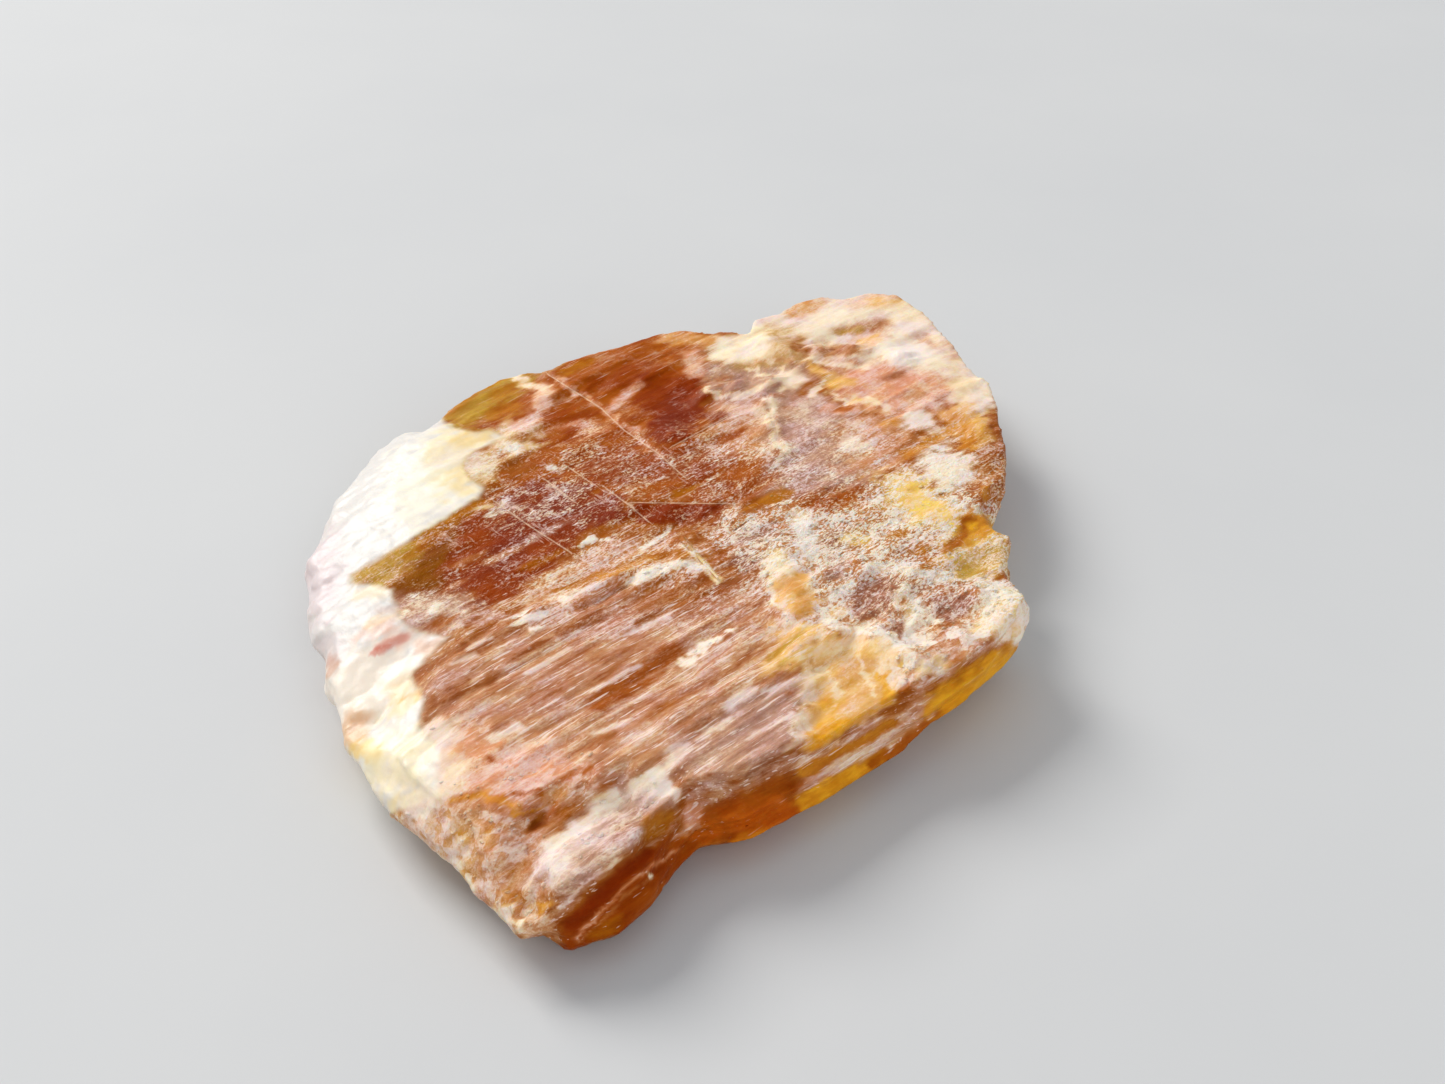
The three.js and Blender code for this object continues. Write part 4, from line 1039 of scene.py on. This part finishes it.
# patterns, most of them drawn out along the fibres
fibres = kyanite.noise(drawn_out(0.12, 1, 1.4), 7.0, 4.0, 0.7)
bands = kyanite.noise(drawn_out(0.13, 1, 1.4), 2.8, 4.0, 0.6)
splinters = kyanite.noise(drawn_out(0.4, 1, 1.2), 5.5, 5.0, 0.75)
crumbs = kyanite.noise(in_mm, 2.0, 7.0, 0.8)
powder = kyanite.noise(drawn_out(0.55, 1, 1), 15.0, 2.0, 0.7)
flakes = kyanite.cells(drawn_out(0.5, 1, 1), 4.5)
chips = kyanite.cells(drawn_out(0.6, 1, 1), 10.0)
highlight_streaks = kyanite.noise(drawn_out(0.07, 1, 1), 15.0, 1.0, 0.5)
cross_cracks = kyanite.noise(drawn_out(1, 0.1, 1), 7.0, 2.0, 0.5)
glint_specks = kyanite.noise(drawn_out(0.22, 1, 1), 18.0, 1.0, 0.6)
cloud = kyanite.noise(in_mm, 0.9, 3.0, 0.6)
hue = kyanite.noise(drawn_out(0.6, 1, 1), 1.7, 3.0, 0.6)
tone = kyanite.noise(drawn_out(0.7, 1, 1), 1.1, 4.0, 0.65, offset=7.0)

# how far the film, its crushed parts and each kind of mark cover the stone
fibrous = fibres * 0.5 + bands * 0.5
crumbly = splinters * 0.5 + crumbs * 0.5
mottle = (fibrous - crumbly) * fibre + crumbly
# lit: where painted glitter shows. The glints and part of the fine speckle of the film are painted
# highlights.
lit = ((cloud.swing(4.0) + bands.swing(4.0) + crust + 0.6).clamped() * 0.6 + 0.4) * glint
fine = (powder.swing(8.0) + chips.swing(1.3)) * lit * (crust * 0.6 + 1)
fine = fine + flakes.swing(crust * 2.0 + 0.3 - fibre * 0.25)
spread = haze.swing(3.0) + cloud.swing(2.6 - fibre * 1.2)
film = mottle.swing(crust * 2.0 + lit * 1.5 + fibre * 1.5 + 2.8) + fine + spread + 0.5
veil = film.clamped()
crushed = (film * 0.9 - 0.6).clamped()
# Painted highlights: thin white streaks along the fibres, where facets catch the light.
painted_streak_highlights = ((highlight_streaks - 0.62) * 12.0 + bands.swing(3.0) + spread * 0.9).clamped() * fibre
crossed = ((cross_cracks - 0.66) * 14.0 + hue.swing(6.0)).clamped() * (1 - fibre) * glint
# Painted glints: white highlights, reddened where the clear stone shows through.
painted_glints = ((glint_specks - 0.63) * 7.0 + splinters.swing(7.0) + spread * 0.7).clamped() * lit
hairline = (1 - crack.maths("ABSOLUTE") * 24.0).clamped() * (splinters * 1.8 - 0.1).clamped()

# the colours, from the clear stone up to the painted glitter on it
toned = (tone.swing(6.0) + 0.5).clamped()
deep = kyanite.stretch(stain_and_painted_light, DEEPER)
warm = kyanite.stretch(stain_and_painted_light, WARMER)
mixed_stone = kyanite.blend((hue.swing(3.0) + 0.5).clamped(), deep, warm)
streaked = ((bands + splinters + fibres - 1.5) * 3.5 + 0.5).clamped()
clear_stone = kyanite.blend(0.6, kyanite.blend(streaked, deep, warm), mixed_stone)
clear_stone = kyanite.blend(fibre * 0.3 + 0.7, stain_and_painted_light, clear_stone)
tan = kyanite.blend(0.48, kyanite.blend(toned, FILM_PINK, FILM_TAN), stain_and_painted_light)
white = kyanite.blend(crust * 0.6, kyanite.blend(toned, FROST_PINK, FROST_CREAM), CHALK)
shine_through = ((0.5 - haze) * 1.4).clamped()
frost = kyanite.blend(shine_through + 0.2 - crust * 0.15, white, stain_and_painted_light)
tint = kyanite.blend(veil * 0.85, clear_stone, tan)
tint = kyanite.blend(crushed * 0.9, tint, frost)
tint = kyanite.blend(painted_streak_highlights * 0.7, tint, STREAK_HIGHLIGHT_WHITE)
tint = kyanite.blend(crossed * 0.6, tint, CROSS_CRACK_TAN)
tint = kyanite.blend(painted_glints * 0.9, tint, kyanite.blend(shine_through, PAINTED_GLINT_WHITE, PAINTED_GLINT_RED))
tint = kyanite.blend(hairline * 0.8, tint, HAIRLINE_TAN)
height = mottle + fine * 0.12 + painted_glints * 0.2 + crumbs * crust * 0.5
bumpy = kyanite.node("Bump", {}, {"Height": height, "Strength": 0.7, "Distance": 0.08 * MM})
stone_shader = kyanite.node("BsdfPrincipled", {}, {
    "Base Color": tint, "Roughness": veil * 0.3 + 0.32, "Normal": bumpy,
    "IOR": 1.2, "Specular IOR Level": 0.5, "Specular Tint": (1.0, 0.6, 0.35, 1),
    "Subsurface Weight": 0.2,
    "Subsurface Scale": 0.5 * MM, "Subsurface Radius": (1.0, 0.35, 0.12),
})

# the quartz, milky with grey clouds
grains = kyanite.noise(in_mm, 2.2, 4.0, 0.6)
milk = kyanite.noise(drawn_out(0.5, 1, 1), 0.8, 5.0, 0.7)
quartz_tint = kyanite.blend(milk.swing(5.0).clamped() * 0.6, stain_and_painted_light, QUARTZ_GREY)
quartz_tint = kyanite.blend(((crumbs - 0.58) * 6.0).clamped() * 0.3, quartz_tint, QUARTZ_DUST)
quartz_bump = kyanite.node("Bump", {}, {"Height": grains, "Strength": 0.3, "Distance": 0.1 * MM})
quartz_shader = kyanite.node("BsdfPrincipled", {}, {
    "Base Color": quartz_tint, "Roughness": 0.4, "Normal": quartz_bump, "Specular IOR Level": 0.4,
    "Subsurface Weight": 0.35, "Subsurface Scale": 0.8 * MM, "Subsurface Radius": (1.0, 0.85, 0.7),
})
stone_or_quartz = kyanite.node("MixShader", {}, {0: quartz, 1: stone_shader, 2: quartz_shader})
kyanite_finish = kyanite.output(stone_or_quartz)
skin.materials.append(kyanite_finish)

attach(chip, "root")
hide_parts("kyanite_crystal")

# ---------------------------------------------------------------------------------------------
# Crumbs: broken grains of the same stone, 0.05 to 0.2 mm across, longer along the fibres. They
# lie on the crumbled crust, held in its powder.
# ---------------------------------------------------------------------------------------------
CRUMBS = 600
CRUMB_RADII = (0.03, 0.07)
CRUMB_FORM = (1.6, 1.0, 0.6)
CRUMB_POWDER = 0.1
UPWARD = 0.6


def add_debris(name, form, powder):
    """Makes a piece of loose grains that lies on the chip and has its finish."""
    mesh = bpy.data.meshes.new(name)
    form.to_mesh(mesh)
    form.free()
    cover(mesh, np.clip(read_points(mesh), low, high), powder)
    mesh.materials.append(kyanite_finish)
    debris = bpy.data.objects.new(name, mesh)
    bpy.context.scene.collection.objects.link(debris)
    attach(debris, "root")


dice = np.random.default_rng(6)
chance = coat.crust * (normals[:, 2] > UPWARD) * (1 - coat.quartz)
crumb_form = bmesh.new()
for index in dice.choice(len(points), CRUMBS, replace=False, p=chance / chance.sum()):
    radius = CRUMB_RADII[0] + (CRUMB_RADII[1] - CRUMB_RADII[0]) * dice.random() ** 2
    lie = Matrix.Rotation(FIBRE_TURN + dice.normal(0, 0.5), 3, "Z")
    for vertex in bmesh.ops.create_icosphere(crumb_form, subdivisions=1, radius=radius)["verts"]:
        broken = [reach * way * dice.uniform(0.7, 1.2) for reach, way in zip(vertex.co, CRUMB_FORM)]
        vertex.co = Vector(points[index]) + lie @ Vector(broken)
add_debris("crust_crumbs", crumb_form, CRUMB_POWDER)

# ---------------------------------------------------------------------------------------------
# Slivers: three pale splinters of the same stone that broke off the chip, the longest 2 mm. They
# lie flat on the split face, stuck in its powder.
# ---------------------------------------------------------------------------------------------
SLIVERS = (
    ((0.5, -0.8), (1.5, -2.6), 0.2), ((-0.5, -0.95), (0.0, -0.4), 0.08),
    ((1.9, -0.2), (2.4, 0.3), 0.1),
)
SLIVER_SIDES = 5
SLIVER_FLATNESS = 0.6
sliver_form = bmesh.new()
for start, end, width in SLIVERS:
    middle = (np.array(start) + end) / 2
    run = math.dist(start, end)
    heading = math.atan2(end[1] - start[1], end[0] - start[0])
    near = np.hypot(*(points[:, :2] - middle).T) + (normals[:, 2] < UPWARD)
    rest = (*middle, points[near.argmin(), 2])
    cone = bmesh.ops.create_cone(
        sliver_form, cap_ends=True, segments=SLIVER_SIDES, radius1=width / 2, radius2=width / 5, depth=run,
    )
    for vertex in cone["verts"]:
        across, up, along = vertex.co
        height = up * SLIVER_FLATNESS + 0.2 * width
        flat_on = Vector((along, across * dice.uniform(0.8, 1.1), height))
        vertex.co = Vector(rest) + Matrix.Rotation(heading, 3, "Z") @ flat_on
add_debris("pale_slivers", sliver_form, 0.0)
